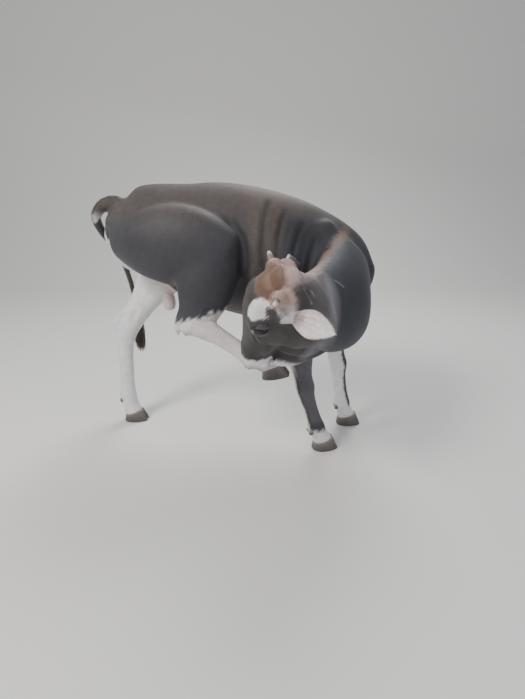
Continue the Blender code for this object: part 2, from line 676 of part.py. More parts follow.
def nostril_tools():
    """Comma-shaped pits of the nostrils and the groove of the mouth."""
    matrix = head_matrix()
    turn = matrix.to_3x3()
    tools = []
    for side in (-1, 1):
        at = matrix @ Vector((0.391, 0.038 * side, -0.050))
        toward = turn @ Vector((0.5, 0.75 * side, 0.0))
        crown = turn @ Vector((0.3, -0.1 * side, 0.9))
        tools.append(muscle("nostril" + str(side), at, (0.013, 0.0065, 0.011), toward, crown))
        wing = matrix @ Vector((0.376, 0.059 * side, -0.042))
        aside = turn @ Vector((1, 0.5 * side, 0.2))
        tools.append(muscle("nostril_wing" + str(side), wing, (0.012, 0.0035, 0.007), aside, crown))
    half = [(0.288, 0.070, -0.116), (0.322, 0.066, -0.115), (0.358, 0.055, -0.113), (0.384, 0.032, -0.110)]
    line = half + [(0.395, 0.0, -0.109)] + [(a, -l, n) for a, l, n in half[::-1]]
    rows = [(*(matrix @ Vector(place)), 0.009, 0.0026, 0.0026) for place in line]
    tools.append(limb("mouth", rows, up=tuple(turn @ Vector((0, 0, 1))), rings=24, sides=6))
    return tools


def ear(side):
    """An ear as a leaf-shaped cup, and the matrix of the flat face it grows from."""
    matrix = head_matrix()
    turn = matrix.to_3x3()
    base = matrix @ Vector((0.036, 0.116 * side, -0.074))
    along, face = EAR_WAYS[side]
    along = (turn @ Vector(along)).normalized()
    face = turn @ Vector(face)
    face = (face - face.dot(along) * along).normalized()
    across = along.cross(face)
    rings, half = 12, 8
    points = np.empty((rings, 2 * half, 3))
    for i, u in enumerate(np.linspace(0.0, 0.97, rings)):
        wide = 0.0205 + 0.0235 * math.sin(min(u / 0.46, 1.0) * math.pi / 2)
        wide *= max(1 - (max(u - 0.40, 0.0) / 0.60) ** 1.6, 0.02) ** 0.80
        hollow = min(max(u - 0.03, 0.0) / 0.16, 1.0)
        cup = 0.017 * hollow * (1 - 0.6 * u)
        thick = 0.0165 * (1 - hollow) + 0.0032
        droop = -0.020 * u * u
        for j in range(2 * half):
            angle = 2 * math.pi * (j + 0.5) / (2 * half)
            v = math.cos(angle)
            deep = thick if math.sin(angle) > 0 else -(0.0165 * (1 - hollow) + 0.0032 * hollow + 0.001)
            lift = deep * abs(math.sin(angle)) ** 0.7
            bend = cup * v * v - cup * 0.8
            rise = bend + lift + droop
            points[i, j] = base + along * (EAR_LENGTH * u) + across * (wide * v) + face * rise
    tip = base + along * EAR_LENGTH - face * 0.026
    made = solid_grid("ear", points[:, ::-1], np.array([base, tip]))
    cut = Matrix.Translation(base) @ Matrix((across, face, along)).transposed().to_4x4()
    return made, cut


def claw(name, foot, side):
    """One claw: a flat sole, a wall that leans out, a pointed toe and a top along the coronet."""
    at, toe, down = (Vector(v) for v in foot)
    down.normalize()
    toe = (toe - toe.dot(down) * down).normalized()
    left = toe.cross(down)
    outline = []
    for turn in np.linspace(-90, 90, 11):
        c = math.cos(math.radians(turn))
        outline.append((math.sin(math.radians(turn)), c**0.75))
    outline += [(0.55, 0.0), (0.0, 0.0), (-0.55, 0.0)]
    levels = [(0.0, 0.97), (0.12, 1.0), (0.45, 0.975), (0.8, 0.95), (1.0, 0.93)]
    points = np.empty((len(levels), len(outline), 3))
    for i, (height, swell) in enumerate(levels):
        front = (0.066 - 0.022 * height) * swell
        heel = (0.045 - 0.003 * height) * swell
        outer = (0.0425 - 0.002 * height) * swell
        for j, (f, w) in enumerate(outline):
            s = f * (front if f > 0 else heel)
            tuck = 0.010 * max(f, 0.0) ** 4 * (1 - 0.6 * height) * (1 if w > 0 else 0.6)
            d = 0.0016 + tuck + w * (outer - 0.0016) * (1 - 0.35 * max(f, 0.0) ** 3)
            top = CLAW_HEIGHT + CORONET_LEAN * s - SEAM
            drop = CLAW_HEIGHT - height * top
            points[i, j] = at + toe * s + left * (d * side) + down * drop
    if side > 0:
        points = points[:, ::-1]
    middle = points.mean(axis=1)
    return solid_grid(name, points, np.array([middle[0], middle[-1]]))


def coronet_box(foot):
    """The space under a foot's coronet plane, cut off the leg."""
    at, toe, down = (Vector(v) for v in foot)
    down.normalize()
    toe = (toe - toe.dot(down) * down).normalized()
    lean = math.atan(CORONET_LEAN)
    across = toe.cross(down)
    along = toe * math.cos(lean) - down * math.sin(lean)
    under = along.cross(across)
    under = under if under.dot(down) > 0 else -under
    turn = Matrix((along, across, under)).transposed().to_4x4()
    return box("coronet", Matrix.Translation(at + under * 0.06) @ turn, (0.085, 0.07, 0.06))


def dewclaw(name, fetlock, side, grow=0.0):
    """A small horny knob behind a fetlock, or with grow its socket."""
    at, back, down = (Vector(v) for v in fetlock)
    back.normalize()
    down = (down - down.dot(back) * back).normalized()
    aside = back.cross(down)
    middle = at + back * DEWCLAW_BEHIND + aside * (DEWCLAW_ASIDE * side) + down * 0.006
    radii = (0.015 + grow, 0.010 + grow, 0.011 + grow)
    return muscle(name, middle, radii, toward=down * 0.8 + back * 0.6, crown=back, sides=10)


def horn_bud(name, side, grow=0.0):
    """A short blunt horn bud that leans out and up, or with grow its socket."""
    matrix = head_matrix()
    turn = matrix.to_3x3()
    rows = []
    for reach, size in ((-0.012, 0.0125), (0.0, 0.0120), (0.010, 0.0108), (0.020, 0.0085), (0.028, 0.0058)):
        at = matrix @ Vector((0.006 - 0.3 * reach, (0.096 + reach) * side, 0.35 * reach))
        rows.append((*at, size + grow, size + grow, size + grow))
    return limb(name, rows, up=tuple(turn @ Vector((1, 0, 0.2))), rings=4, sides=10, dome=0.8)


def ball(name, middle, out, radius):
    """A ball with one pole in the way it looks."""
    return muscle(name, middle, (radius, radius, radius), toward=out, crown=(0.3, 0.2, 1), sides=14)


def lock(name, path, face, width, thick):
    """A flat lock of hair that looks along face: a strip with a ridge on both sides, tapering to its tip."""
    path = np.asarray(path, float)
    along = unit(np.gradient(path, axis=0))
    face = np.asarray(face, float)
    face = unit(face - (along @ face)[:, None] * along)
    across = np.cross(face, along)
    share = np.linspace(0, 1, len(path))[:, None]
    taper = (1 - share) ** 0.8 * 0.88 + 0.12
    wide, deep = across * width * taper, face * thick * taper
    points = np.stack([path + step for step in (wide, deep, -wide, -deep)], axis=1)
    tips = np.array([path[0] - along[0] * width * 0.5, path[-1] + along[-1] * width * 0.6])
    return solid_grid(name, points, tips)


def poll_locks(head):
    """The tuft between the horn buds, combed down over the forehead in overlapping rows."""
    matrix = head_matrix()
    turn = matrix.to_3x3()
    shape = bmesh.new()
    shape.from_mesh(head.data)
    tree = BVHTree.FromBMesh(shape)
    shape.free()
    crown = turn @ Vector((0, 0, 1))
    locks = []
    rng = np.random.default_rng(7)
    for row in range(4):
        for column in range(5 - row % 2):
            across = (column - (4 - row % 2) / 2) * 0.028
            start = -0.008 + row * 0.022
            path = []
            for step in range(4):
                a = start + step * 0.017
                l = across * (1 + 0.06 * step) + rng.uniform(-0.002, 0.002)
                above = matrix @ Vector((a, l, 0.16))
                hit = tree.ray_cast(above, -crown, 0.30)[0]
                if hit is None:
                    break
                path.append(hit + crown * (-0.005, 0.004, 0.009, 0.010)[step])
            if len(path) == 4:
                locks.append(lock("tuft", path, tuple(crown), 0.0150, 0.0055))
    return locks


def switch_locks():
    """The brush at the tail's end."""
    locks = []
    rng = np.random.default_rng(11)
    for k in range(16):
        turn = k * 2.399963
        start = 0.515 - 0.085 * (k / 15)
        centre = np.array([-0.602, 0.277])
        way = np.array([math.cos(turn), math.sin(turn)])
        root = 0.006
        belly = 0.020 + rng.uniform(-0.002, 0.003)
        end = 0.006 + rng.uniform(0.0, 0.006)
        long = 0.165 + rng.uniform(-0.02, 0.015) - 0.02 * (k / 15)
        path = []
        for share, out in ((0.0, root), (0.25, 0.6 * belly), (0.6, belly), (1.0, end)):
            x, y = centre + way * out
            path.append((x + 0.012 * share, y, start - long * share))
        locks.append(lock("hair", path, (way[0], way[1], 0.15), 0.0140, 0.0050))
    return locks


def paint(obj, name):
    """Gives an object its one material."""
    colour, roughness = PAINTS[name]
    material = bpy.data.materials.get(name)
    if material is None:
        material = bpy.data.materials.new(name)
        material.use_nodes = True
        shader = material.node_tree.nodes["Principled BSDF"]
        shader.inputs["Base Color"].default_value = (*colour, 1.0)
        shader.inputs["Roughness"].default_value = roughness
        material.diffuse_color = (*colour, 1.0)
    obj.data.materials.clear()
    obj.data.materials.append(material)


def set_on_floor(objects):
    """Puts the middle of the whole over the origin, the soles on the floor and each origin in its part."""
    corners = np.array([v.co for o in objects for v in o.data.vertices])
    low, high = corners.min(axis=0), corners.max(axis=0)
    shift = Vector((-(low[0] + high[0]) / 2, -(low[1] + high[1]) / 2, -low[2]))
    for obj in objects:
        points = np.array([v.co for v in obj.data.vertices])
        middle = Vector((points.min(axis=0) + points.max(axis=0)) / 2)
        obj.data.transform(Matrix.Translation(-middle))
        obj.location = middle + shift


def main():
    """Builds the flesh, parts it into nodes, adds eyes, ears, buds and claws, and sets all on the floor."""
    for obj in list(bpy.data.objects):
        bpy.data.objects.remove(obj, do_unlink=True)
    scene = bpy.context.scene
    flesh = melted_flesh()

    ears = {}
    tools = [coronet_box(foot) for foot in FEET.values()]
    for name, side in (("ear_left", 1), ("ear_right", -1)):
        made, cut = ear(side)
        made.name = name
        scene.collection.objects.link(made)
        ears[name] = made
        tools.append(box("ear_cut", cut @ Matrix.Translation((0, 0, 0.03 - SEAM)), (0.040, 0.036, 0.03)))
    carve(flesh, tools)
    carve(flesh, lid_forms(), "UNION")
    tools = nostril_tools()
    for frame in eye_frames().values():
        tools.append(ball("socket", *frame[:2], EYE_RADIUS + SEAM))
    for side in (-1, 1):
        tools.append(horn_bud("bud_socket", side, grow=SEAM))
        for fetlock in FETLOCKS.values():
            tools.append(dewclaw("dewclaw_socket", fetlock, side, grow=SEAM))
    carve(flesh, tools)
    carve(flesh, [plate("plate", *row) for row in PLATES])

    parts = []
    pieces = [piece for piece in islands(flesh) if abs(piece.calc_volume()) > 1e-6]
    for piece in pieces:
        tree = BVHTree.FromBMesh(piece)
        name = next(name for name in INSIDE if is_inside(tree, INSIDE[name]))
        parts.append(object_of(name, piece))
    bpy.data.objects.remove(flesh)
    by_name = {part.name: part for part in parts}
    carve(by_name["head"], poll_locks(by_name["head"]), "UNION")
    keep_largest(by_name["head"])
    carve(by_name["tail_switch"], switch_locks(), "UNION")
    keep_largest(by_name["tail_switch"])

    small = list(ears.values())
    for name, side in (("left", 1), ("right", -1)):
        small.append(ball("eye_" + name, *eye_frames()[name][:2], EYE_RADIUS))
        small.append(horn_bud("horn_bud_" + name, side))
    for leg in FEET:
        for name, side in (("left", 1), ("right", -1)):
            small.append(claw(leg + "_claw_" + name, FEET[leg], side))
            small.append(dewclaw(leg + "_dewclaw_" + name, FETLOCKS[leg], side))
    for obj in small:
        if obj.name not in scene.collection.objects:
            scene.collection.objects.link(obj)
        parts.append(obj)

    for part in parts:
        kind = "grey_coat"
        if "claw" in part.name or "horn" in part.name:
            kind = "horn"
        elif part.name.startswith("eye"):
            kind = "eye"
        elif part.name in PALE_NODES:
            kind = "pale_coat"
        paint(part, kind)
    set_on_floor(parts)
    torso = by_name["torso"]
    for part in parts:
        if part is not torso:
            part.parent = torso
            part.matrix_parent_inverse = Matrix.Translation(torso.location).inverted()
    group = bpy.data.collections.new("calf")
    scene.collection.children.link(group)
    for part in parts:
        scene.collection.objects.unlink(part)
        group.objects.link(part)


def is_inside(tree, point):
    """Whether a point lies inside a closed surface: a ray from it meets the surface an odd count of times."""
    way = Vector((0.31, 0.22, 0.92)).normalized()
    count = 0
    at = Vector(point)
    while count < 50:
        hit = tree.ray_cast(at, way)[0]
        if hit is None:
            break
        count += 1
        at = hit + way * 0.00001
    return count % 2 == 1


if __name__ == "__main__":
    main()
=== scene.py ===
"""Looks of a young brown bull calf, life size, standing with its head turned round to its raised hind foot.

One skin stands for all the nodes of flesh: the same forms as the solids', melted at a finer grain, lowered
by the depth of the coat, with folds, tendons, lips and nostrils. Short hair lies on it as flat tapered tufts
along the lie of the coat. Eyes, lids, ears, horn buds, claws and dewclaws are pieces of their own.
"""

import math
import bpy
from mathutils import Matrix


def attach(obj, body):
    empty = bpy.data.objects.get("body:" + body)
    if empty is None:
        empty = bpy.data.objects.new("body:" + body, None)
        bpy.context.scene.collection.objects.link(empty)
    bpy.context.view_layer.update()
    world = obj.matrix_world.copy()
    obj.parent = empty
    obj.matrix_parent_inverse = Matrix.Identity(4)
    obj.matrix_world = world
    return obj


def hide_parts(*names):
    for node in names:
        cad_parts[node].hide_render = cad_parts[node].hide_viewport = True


bl_info = {
    "name": "Brown bull calf",
    "version": (1, 0, 0),
    "blender": (4, 5, 0),
    "location": "3D View > Sidebar > Calf",
    "description": "Builds the skin, coat, eyes, ears and feet of a life-size calf figure and its stage",
    "category": "Object",
}

import bmesh
import bpy
import numpy as np
from mathutils import Vector
from mathutils.bvhtree import BVHTree

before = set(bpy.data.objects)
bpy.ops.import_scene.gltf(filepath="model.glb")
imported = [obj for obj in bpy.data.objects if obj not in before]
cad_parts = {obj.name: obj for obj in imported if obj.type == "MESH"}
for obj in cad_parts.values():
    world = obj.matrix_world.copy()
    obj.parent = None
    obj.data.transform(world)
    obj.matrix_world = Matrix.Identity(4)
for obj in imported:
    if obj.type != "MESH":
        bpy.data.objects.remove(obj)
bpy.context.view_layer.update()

# Where the calf's own measures have their origin in the model.
OFFSET = np.array((0.12757, 0.17928, 0.0))

# The head's place in the pose: poll, and the directions to the muzzle and out of the forehead.
POLL = np.array((0.037, -0.525, 0.822))
HEAD_FORWARD = np.array((-0.35, 0.45, -0.82))
HEAD_CROWN = np.array((-0.92, -0.22, 0.27))

# Driving sizes: eyeball, half length of its opening and half heights above and below, ear, claw, and horn bud
# from the middle.
EYE_RADIUS = 0.023
OPENING_LONG, OPENING_UP, OPENING_DOWN = 0.024, 0.0138, 0.0106
EAR_LENGTH = 0.138
CLAW_HEIGHT = 0.046
CORONET_LEAN = 0.3
BUD_OUT = 0.096

# Height of the mouth's line in the head's own frame, and middle of the tail's tip.
MOUTH_HEIGHT = -0.113
TAIL_TIP = (-0.602, 0.277, 0.52)

# Turn between the waves of uneven tones, steps along a limb's axis, and a tuft's patch on the unwrap.
WAVE_TURN = 2.399963
AXIS_STEPS = 33
PATCH = 0.003

# The picture's camera: place before the calf is shifted, tilt down in degrees, and lens in millimetres.
CAMERA_PLACE = (0.0, -2.15, 1.15)
CAMERA_TILT = 19.1
CAMERA_LENS = 36.0

# Each foot: middle of the coronet, way to the toe, way down. Each fetlock: middle, way back, way down.
FEET = {
    "fore_leg_right": ((0.259, -0.129, 0.046), (0.95, 0.15, 0.0), (0.0, 0.0, -1.0)),
    "fore_leg_left": ((0.396, 0.108, 0.046), (1.0, -0.02, 0.0), (0.0, 0.0, -1.0)),
    "hind_leg_left": ((-0.617, 0.145, 0.046), (1.0, -0.05, 0.0), (0.0, 0.0, -1.0)),
    "hind_leg_right": ((0.036, -0.246, 0.424), (0.914, -0.105, 0.14), (0.14, -0.04, -0.914)),
}
FETLOCKS = {
    "fore_leg_right": ((0.232, -0.142, 0.105), (-0.95, -0.2, -0.25), (0.35, 0.1, -0.93)),
    "fore_leg_left": ((0.376, 0.107, 0.105), (-0.97, 0.0, -0.25), (0.25, 0.0, -0.97)),
    "hind_leg_left": ((-0.636, 0.147, 0.122), (-0.97, 0.0, -0.22), (0.2, 0.0, -0.97)),
    "hind_leg_right": ((-0.045, -0.235, 0.456), (-0.4, 0.0, -0.92), (0.9, -0.12, -0.38)),
}

# Each ear, with the left one under 1: the way along it and the way its cup faces, in the head's own frame.
EAR_WAYS = {
    1: ((-0.38, 0.65, -0.65), (-0.5, 0.55, 0.6)),
    -1: ((0.45, -0.78, -0.42), (0.5, 0.0, 0.85)),
}

# Axes of the limbs along the lie of the hair: points, each with the limb's rough radius there.
AXES = {
    "torso": [(0.38, -0.03, 0.7, 0.13), (0.255, 0.01, 0.755, 0.2), (0.02, 0.058, 0.82, 0.24),
              (-0.28, 0.075, 0.86, 0.24), (-0.48, 0.078, 0.905, 0.18), (-0.6, 0.075, 0.93, 0.1)],
    "neck": [(0.06, -0.52, 0.76, 0.08), (0.12, -0.47, 0.735, 0.09), (0.17, -0.408, 0.7, 0.11),
             (0.24, -0.32, 0.68, 0.13), (0.297, -0.21, 0.69, 0.15), (0.3, -0.08, 0.72, 0.16),
             (0.25, 0.01, 0.72, 0.17)],
    "fore_leg_right": [(0.26, -0.16, 0.7, 0.08), (0.13, -0.175, 0.56, 0.075), (0.15, -0.175, 0.44, 0.05),
                       (0.172, -0.17, 0.3, 0.04), (0.202, -0.155, 0.2, 0.03), (0.232, -0.142, 0.105, 0.036),
                       (0.26, -0.128, 0.035, 0.04)],
    "fore_leg_left": [(0.35, 0.095, 0.72, 0.08), (0.295, 0.12, 0.56, 0.075), (0.318, 0.112, 0.44, 0.05),
                      (0.345, 0.105, 0.3, 0.04), (0.36, 0.106, 0.2, 0.03), (0.376, 0.107, 0.105, 0.036),
                      (0.397, 0.108, 0.035, 0.04)],
    "hind_leg_left": [(-0.43, 0.17, 0.86, 0.12), (-0.44, 0.2, 0.7, 0.11), (-0.5, 0.195, 0.6, 0.08),
                      (-0.6, 0.178, 0.48, 0.05), (-0.633, 0.16, 0.37, 0.037), (-0.637, 0.15, 0.17, 0.033),
                      (-0.618, 0.145, 0.035, 0.04)],
    "thigh_right": [(-0.44, -0.04, 0.98, 0.12), (-0.33, -0.08, 0.88, 0.15), (-0.24, -0.15, 0.76, 0.12),
                    (-0.24, -0.185, 0.64, 0.08), (-0.285, -0.2, 0.565, 0.045)],
    "hind_leg_right": [(-0.285, -0.2, 0.572, 0.045), (-0.215, -0.208, 0.556, 0.042),
                       (-0.16, -0.217, 0.529, 0.036),
                       (-0.1, -0.226, 0.492, 0.033), (-0.045, -0.235, 0.456, 0.037),
                       (0.045, -0.247, 0.42, 0.04)],
    "tail": [(-0.6, 0.07, 1.02, 0.03), (-0.65, 0.075, 1.008, 0.026), (-0.688, 0.09, 0.965, 0.021),
             (-0.682, 0.135, 0.895, 0.017), (-0.652, 0.195, 0.82, 0.015), (-0.628, 0.248, 0.72, 0.014),
             (-0.602, 0.278, 0.5, 0.012), (-0.6, 0.277, 0.36, 0.012)],
    "head": [(-0.08, -0.365, 0.51, 0.055), (-0.036, -0.43, 0.6, 0.075), (0.0, -0.475, 0.69, 0.1),
             (0.04, -0.515, 0.77, 0.09), (0.07, -0.535, 0.8, 0.06)],
}


def unit(rows):
    """Ways of length one."""
    return rows / np.maximum(np.linalg.norm(rows, axis=-1, keepdims=True), 1e-9)


def along_surface(ways, normals):
    """The part of each way that lies along the surface."""
    return ways - (ways * normals).sum(1, keepdims=True) * normals


def ease(value, low, high):
    """Smooth step: 0 below low, 1 above high."""
    t = np.clip((value - low) / (high - low), 0.0, 1.0)
    return t * t * (3 - 2 * t)


def head_turn():
    """The head's axes as columns: x to the muzzle, y to its left, z out of the forehead."""
    x = unit(HEAD_FORWARD)
    z = unit(HEAD_CROWN - HEAD_CROWN.dot(x) * x)
    return np.column_stack([x, np.cross(z, x), z])


HEAD_TURN = head_turn()


def to_head(points):
    """Places in the head's own frame."""
    return (points - POLL) @ HEAD_TURN


def from_head(points):
    """Places of the head's own frame in the calf's measures."""
    return np.asarray(points, float) @ HEAD_TURN.T + POLL


def path_distance(points, path):
    """Distance to a path of points, and how far along it the nearest place lies, from 0 to 1."""
    path = np.asarray(path, float)
    best = np.full(len(points), 9.0)
    share = np.zeros(len(points))
    for k in range(len(path) - 1):
        start, way = path[k], path[k + 1] - path[k]
        t = np.clip((points - start) @ way / way.dot(way), 0, 1)
        far = np.linalg.norm(points - start - t[:, None] * way, axis=1)
        near = far < best
        best = np.where(near, far, best)
        share = np.where(near, (k + t) / (len(path) - 1), share)
    return best, share


def foot_axes(foot):
    """Middle of a foot, and its ways to the toe, to the left and down."""
    at, toe, down = (np.array(v, float) for v in foot)
    down = unit(down)
    toe = unit(toe - toe.dot(down) * down)
    return at, toe, np.cross(toe, down), down


# Surfaces from arrays


def flow_through(rows, count):
    """Rows of values as one smooth curve of cubic pieces with central slopes, at even steps of the length
    along the first three columns."""
    rows = np.asarray(rows, float)
    steps = np.linalg.norm(np.diff(rows[:, :3], axis=0), axis=1)
    reach = np.concatenate([[0.0], np.cumsum(steps)])
    at = np.linspace(0.0, reach[-1], count)
    slope = np.gradient(rows, reach, axis=0)
    i = np.clip(np.searchsorted(reach, at, "right") - 1, 0, len(rows) - 2)
    span = (reach[i + 1] - reach[i])[:, None]
    t = (at - reach[i])[:, None] / span
    return (
        (2 * t**3 - 3 * t**2 + 1) * rows[i]
        + (t**3 - 2 * t**2 + t) * span * slope[i]
        + (3 * t**2 - 2 * t**3) * rows[i + 1]
        + (t**3 - t**2) * span * slope[i + 1]
    )


def closed_grid(rings, tips):
    """Points, quads and triangles of a closed surface from rings of points and the two points that close
    it."""
    count, sides = rings.shape[:2]
    ring = np.arange(count * sides).reshape(count, sides)
    after = np.roll(ring, -1, axis=1)
    quads = np.stack([ring[:-1], after[:-1], after[1:], ring[1:]], axis=-1).reshape(-1, 4)
    first, last = count * sides, count * sides + 1
    fans = np.vstack([
        np.column_stack([np.full(sides, first), after[0], ring[0]]),
        np.column_stack([np.full(sides, last), ring[-1], after[-1]]),
    ])
    return np.vstack([rings.reshape(-1, 3), tips]), quads, fans


def tube(rows, up=(0, 0, 1), rings=24, sides=24, dome=0.6, full=1.0):
    """A closed limb. Each row is a section: centre, half width, half height above and below the centre, and a
    ridge value that narrows its upper half. Point = centre + aside * width * cos(angle) + above * height *
    sin(angle), with both ends drawn in as domes."""
    rows = np.asarray(rows, float)
    if rows.shape[1] == 6:
        rows = np.hstack([rows, np.zeros((len(rows), 1))])
    up = np.asarray(up, float)
    up = np.tile(up, (len(rows), 1)) if up.ndim == 1 else up
    made = flow_through(np.hstack([rows, up]), rings)
    centre, size, hint = made[:, :3], made[:, 3:7], made[:, 7:]
    along = unit(np.gradient(centre, axis=0))
    above = unit(along_surface(hint, along))
    aside = np.cross(above, along)
    turns = np.radians([75, 50, 25])
    depth = dome * np.minimum(size[:, 0], size[:, 1])
    order = [(0, -math.sin(a) * depth[0], math.cos(a)) for a in turns]
    order += [(k, 0.0, 1.0) for k in range(rings)]
    order += [(-1, math.sin(a) * depth[-1], math.cos(a)) for a in turns[::-1]]
    k = np.array([o[0] for o in order])
    shift = np.array([o[1] for o in order])[:, None]
    scale = np.array([o[2] for o in order])[:, None]
    angle = np.linspace(0, 2 * math.pi, sides, endpoint=False)[None, :]
    rise = np.sign(np.sin(angle)) * np.abs(np.sin(angle)) ** full
    reach = np.sign(np.cos(angle)) * np.abs(np.cos(angle)) ** full
    wide = size[k, 0:1] * reach * (1 - size[k, 3:4] * np.clip(rise, 0, 1) ** 1.5) * scale
    tall = np.where(rise > 0, size[k, 1:2], size[k, 2:3]) * rise * scale
    middle = centre[k] + along[k] * shift
    points = middle[:, None] + aside[k][:, None] * wide[..., None] + above[k][:, None] * tall[..., None]
    tips = np.array([centre[0] - along[0] * depth[0], centre[-1] + along[-1] * depth[-1]])
    return closed_grid(points, tips)


def ball(centre, radii, toward=(1, 0, 0), crown=(0, 0, 1), sides=24):
    """An ellipsoid from rings of latitude: radii along toward, across it and along crown."""
    x = unit(np.asarray(toward, float))
    z = np.asarray(crown, float)
    z = unit(z - z.dot(x) * x)
    y = np.cross(z, x)
    high = np.linspace(-90, 90, sides // 2 + 1)[1:-1]
    high = np.radians(high)[:, None]
    turn = np.linspace(0, 2 * math.pi, sides, endpoint=False)[None, :]
    local = np.stack([np.cos(high) * np.cos(turn), np.cos(high) * np.sin(turn), np.sin(high) + 0 * turn],
                     axis=-1)
    axes = np.vstack([x, y, z]) * np.asarray(radii, float)[:, None]
    tips = np.array([centre - axes[2], centre + axes[2]])
    return closed_grid(local @ axes + np.asarray(centre, float), tips)


def merged(shapes):
    """Several surfaces as one list of points, quads and triangles."""
    points, quads, fans, start = [], [], [], 0
    for p, q, f in shapes:
        points.append(p)
        quads.append(np.asarray(q).reshape(-1, 4) + start)
        fans.append(np.asarray(f).reshape(-1, 3) + start)
        start += len(p)
    return np.vstack(points), np.vstack(quads), np.vstack(fans)


def surface(name, points, quads, fans):
    """A smooth mesh object of these points and faces, carried from the calf's own measures into the model."""
    mesh = bpy.data.meshes.new(name)
    points = np.asarray(points, float) + OFFSET
    mesh.vertices.add(len(points))
    mesh.vertices.foreach_set("co", points.astype(np.float32).ravel())
    corners = np.concatenate([np.asarray(quads).ravel(), np.asarray(fans).ravel()]).astype(np.int32)
    mesh.loops.add(len(corners))
    mesh.loops.foreach_set("vertex_index", corners)
    starts = np.concatenate([np.arange(len(quads)) * 4, 4 * len(quads) + np.arange(len(fans)) * 3])
    mesh.polygons.add(len(starts))
    mesh.polygons.foreach_set("loop_start", starts.astype(np.int32))
    mesh.update(calc_edges=True)
    mesh.polygons.foreach_set("use_smooth", np.ones(len(starts), bool))
    made = bpy.data.objects.new(name, mesh)
    bpy.context.scene.collection.objects.link(made)
    return made


def give_colour(obj, colours, name="coat"):
    """Stores one colour for each point of the object's mesh."""
    layer = obj.data.color_attributes.new(name, "FLOAT_COLOR", "POINT")
    values = np.ones((len(obj.data.vertices), 4), np.float32)
    values[:, :3] = colours
    layer.data.foreach_set("color", values.ravel())


def give_vector(obj, vectors, name):
    """Stores one vector for each point of the object's mesh."""
    layer = obj.data.attributes.new(name, "FLOAT_VECTOR", "POINT")
    layer.data.foreach_set("vector", np.asarray(vectors, np.float32).ravel())


# The forms of the flesh


def torso_forms():
    """The barrel, shoulder blades, hip and pin bones."""
    spine = [
        (-0.602, 0.072, 0.93, 0.08, 0.085, 0.1, 0.0),
        (-0.565, 0.075, 0.92, 0.13, 0.145, 0.16, 0.05),
        (-0.48, 0.078, 0.905, 0.16, 0.19, 0.185, 0.1),
        (-0.39, 0.078, 0.885, 0.175, 0.212, 0.197, 0.05),
        (-0.28, 0.075, 0.86, 0.188, 0.24, 0.243, 0.1),
        (-0.13, 0.07, 0.845, 0.202, 0.25, 0.28, 0.15),
        (0.02, 0.058, 0.82, 0.21, 0.245, 0.29, 0.25),
        (0.15, 0.036, 0.785, 0.198, 0.235, 0.28, 0.35),
        (0.255, 0.01, 0.755, 0.172, 0.21, 0.265, 0.45),
        (0.335, -0.015, 0.72, 0.13, 0.175, 0.225, 0.3),
        (0.39, -0.035, 0.69, 0.08, 0.12, 0.15, 0.0),
    ]
    forms = [tube(spine, rings=40, sides=36)]
    blades = (
        [(0.2, -0.06, 0.93), (0.265, -0.125, 0.78), (0.3, -0.16, 0.66)],
        [(0.225, 0.06, 0.93), (0.32, 0.095, 0.79), (0.365, 0.085, 0.67)],
    )
    for top, middle, point in blades:
        rows = [(*top, 0.02, 0.08, 0.08), (*middle, 0.032, 0.1, 0.1), (*point, 0.042, 0.08, 0.08)]
        forms.append(tube(rows, up=(1, 0, 0.4), rings=12))
    for side in (-1, 1):
        forms.append(ball((-0.362, 0.078 + 0.118 * side, 0.98), (0.075, 0.04, 0.038), (1, 0, 0.1)))
        forms.append(ball((-0.585, 0.072 + 0.055 * side, 0.945), (0.05, 0.042, 0.045), (1, 0, 0.3)))
    return forms


def fore_leg_forms():
    """Upper arm, forearm, knee, cannon, fetlock and pastern of both front legs."""
    legs = np.array([
        [(0.295, -0.16, 0.65), (0.13, -0.175, 0.56), (0.15, -0.175, 0.44),
         (0.172, -0.17, 0.3), (0.232, -0.142, 0.105), (0.257, -0.13, 0.045)],
        [(0.372, 0.09, 0.66), (0.295, 0.12, 0.56), (0.318, 0.112, 0.44),
         (0.345, 0.105, 0.3), (0.376, 0.107, 0.105), (0.395, 0.108, 0.045)],
    ])
    forms = []
    for point, elbow, forearm, knee, fetlock, foot in legs:
        upper = [(*point, 0.05, 0.065, 0.065), (*(0.5 * (point + elbow)), 0.06, 0.08, 0.08),
                 (*elbow, 0.05, 0.07, 0.06)]
        forms.append(tube(upper, up=(0, 0, 1), rings=12))
        shin = fetlock - knee
        pastern = 0.5 * (fetlock + foot)
        rows = [
            (*(elbow + (0, 0, 0.05)), 0.055, 0.075, 0.085),
            (*elbow, 0.052, 0.072, 0.078),
            (*forearm, 0.043, 0.054, 0.054),
            (*(knee + 0.3 * (forearm - knee)), 0.035, 0.039, 0.039),
            (*knee, 0.038, 0.044, 0.038),
            (*(knee + 0.22 * shin), 0.031, 0.033, 0.036),
            (*(knee + 0.5 * shin), 0.026, 0.029, 0.033),
            (*(knee + 0.82 * shin), 0.029, 0.031, 0.036),
            (*fetlock, 0.035, 0.036, 0.042),
            (*pastern, 0.034, 0.033, 0.036),
            (*foot, 0.039, 0.042, 0.042),
            (*(foot + 0.5 * (foot - pastern)), 0.04, 0.044, 0.044),
        ]
        forms.append(tube(rows, up=(1, 0, 0), rings=40))
    return forms


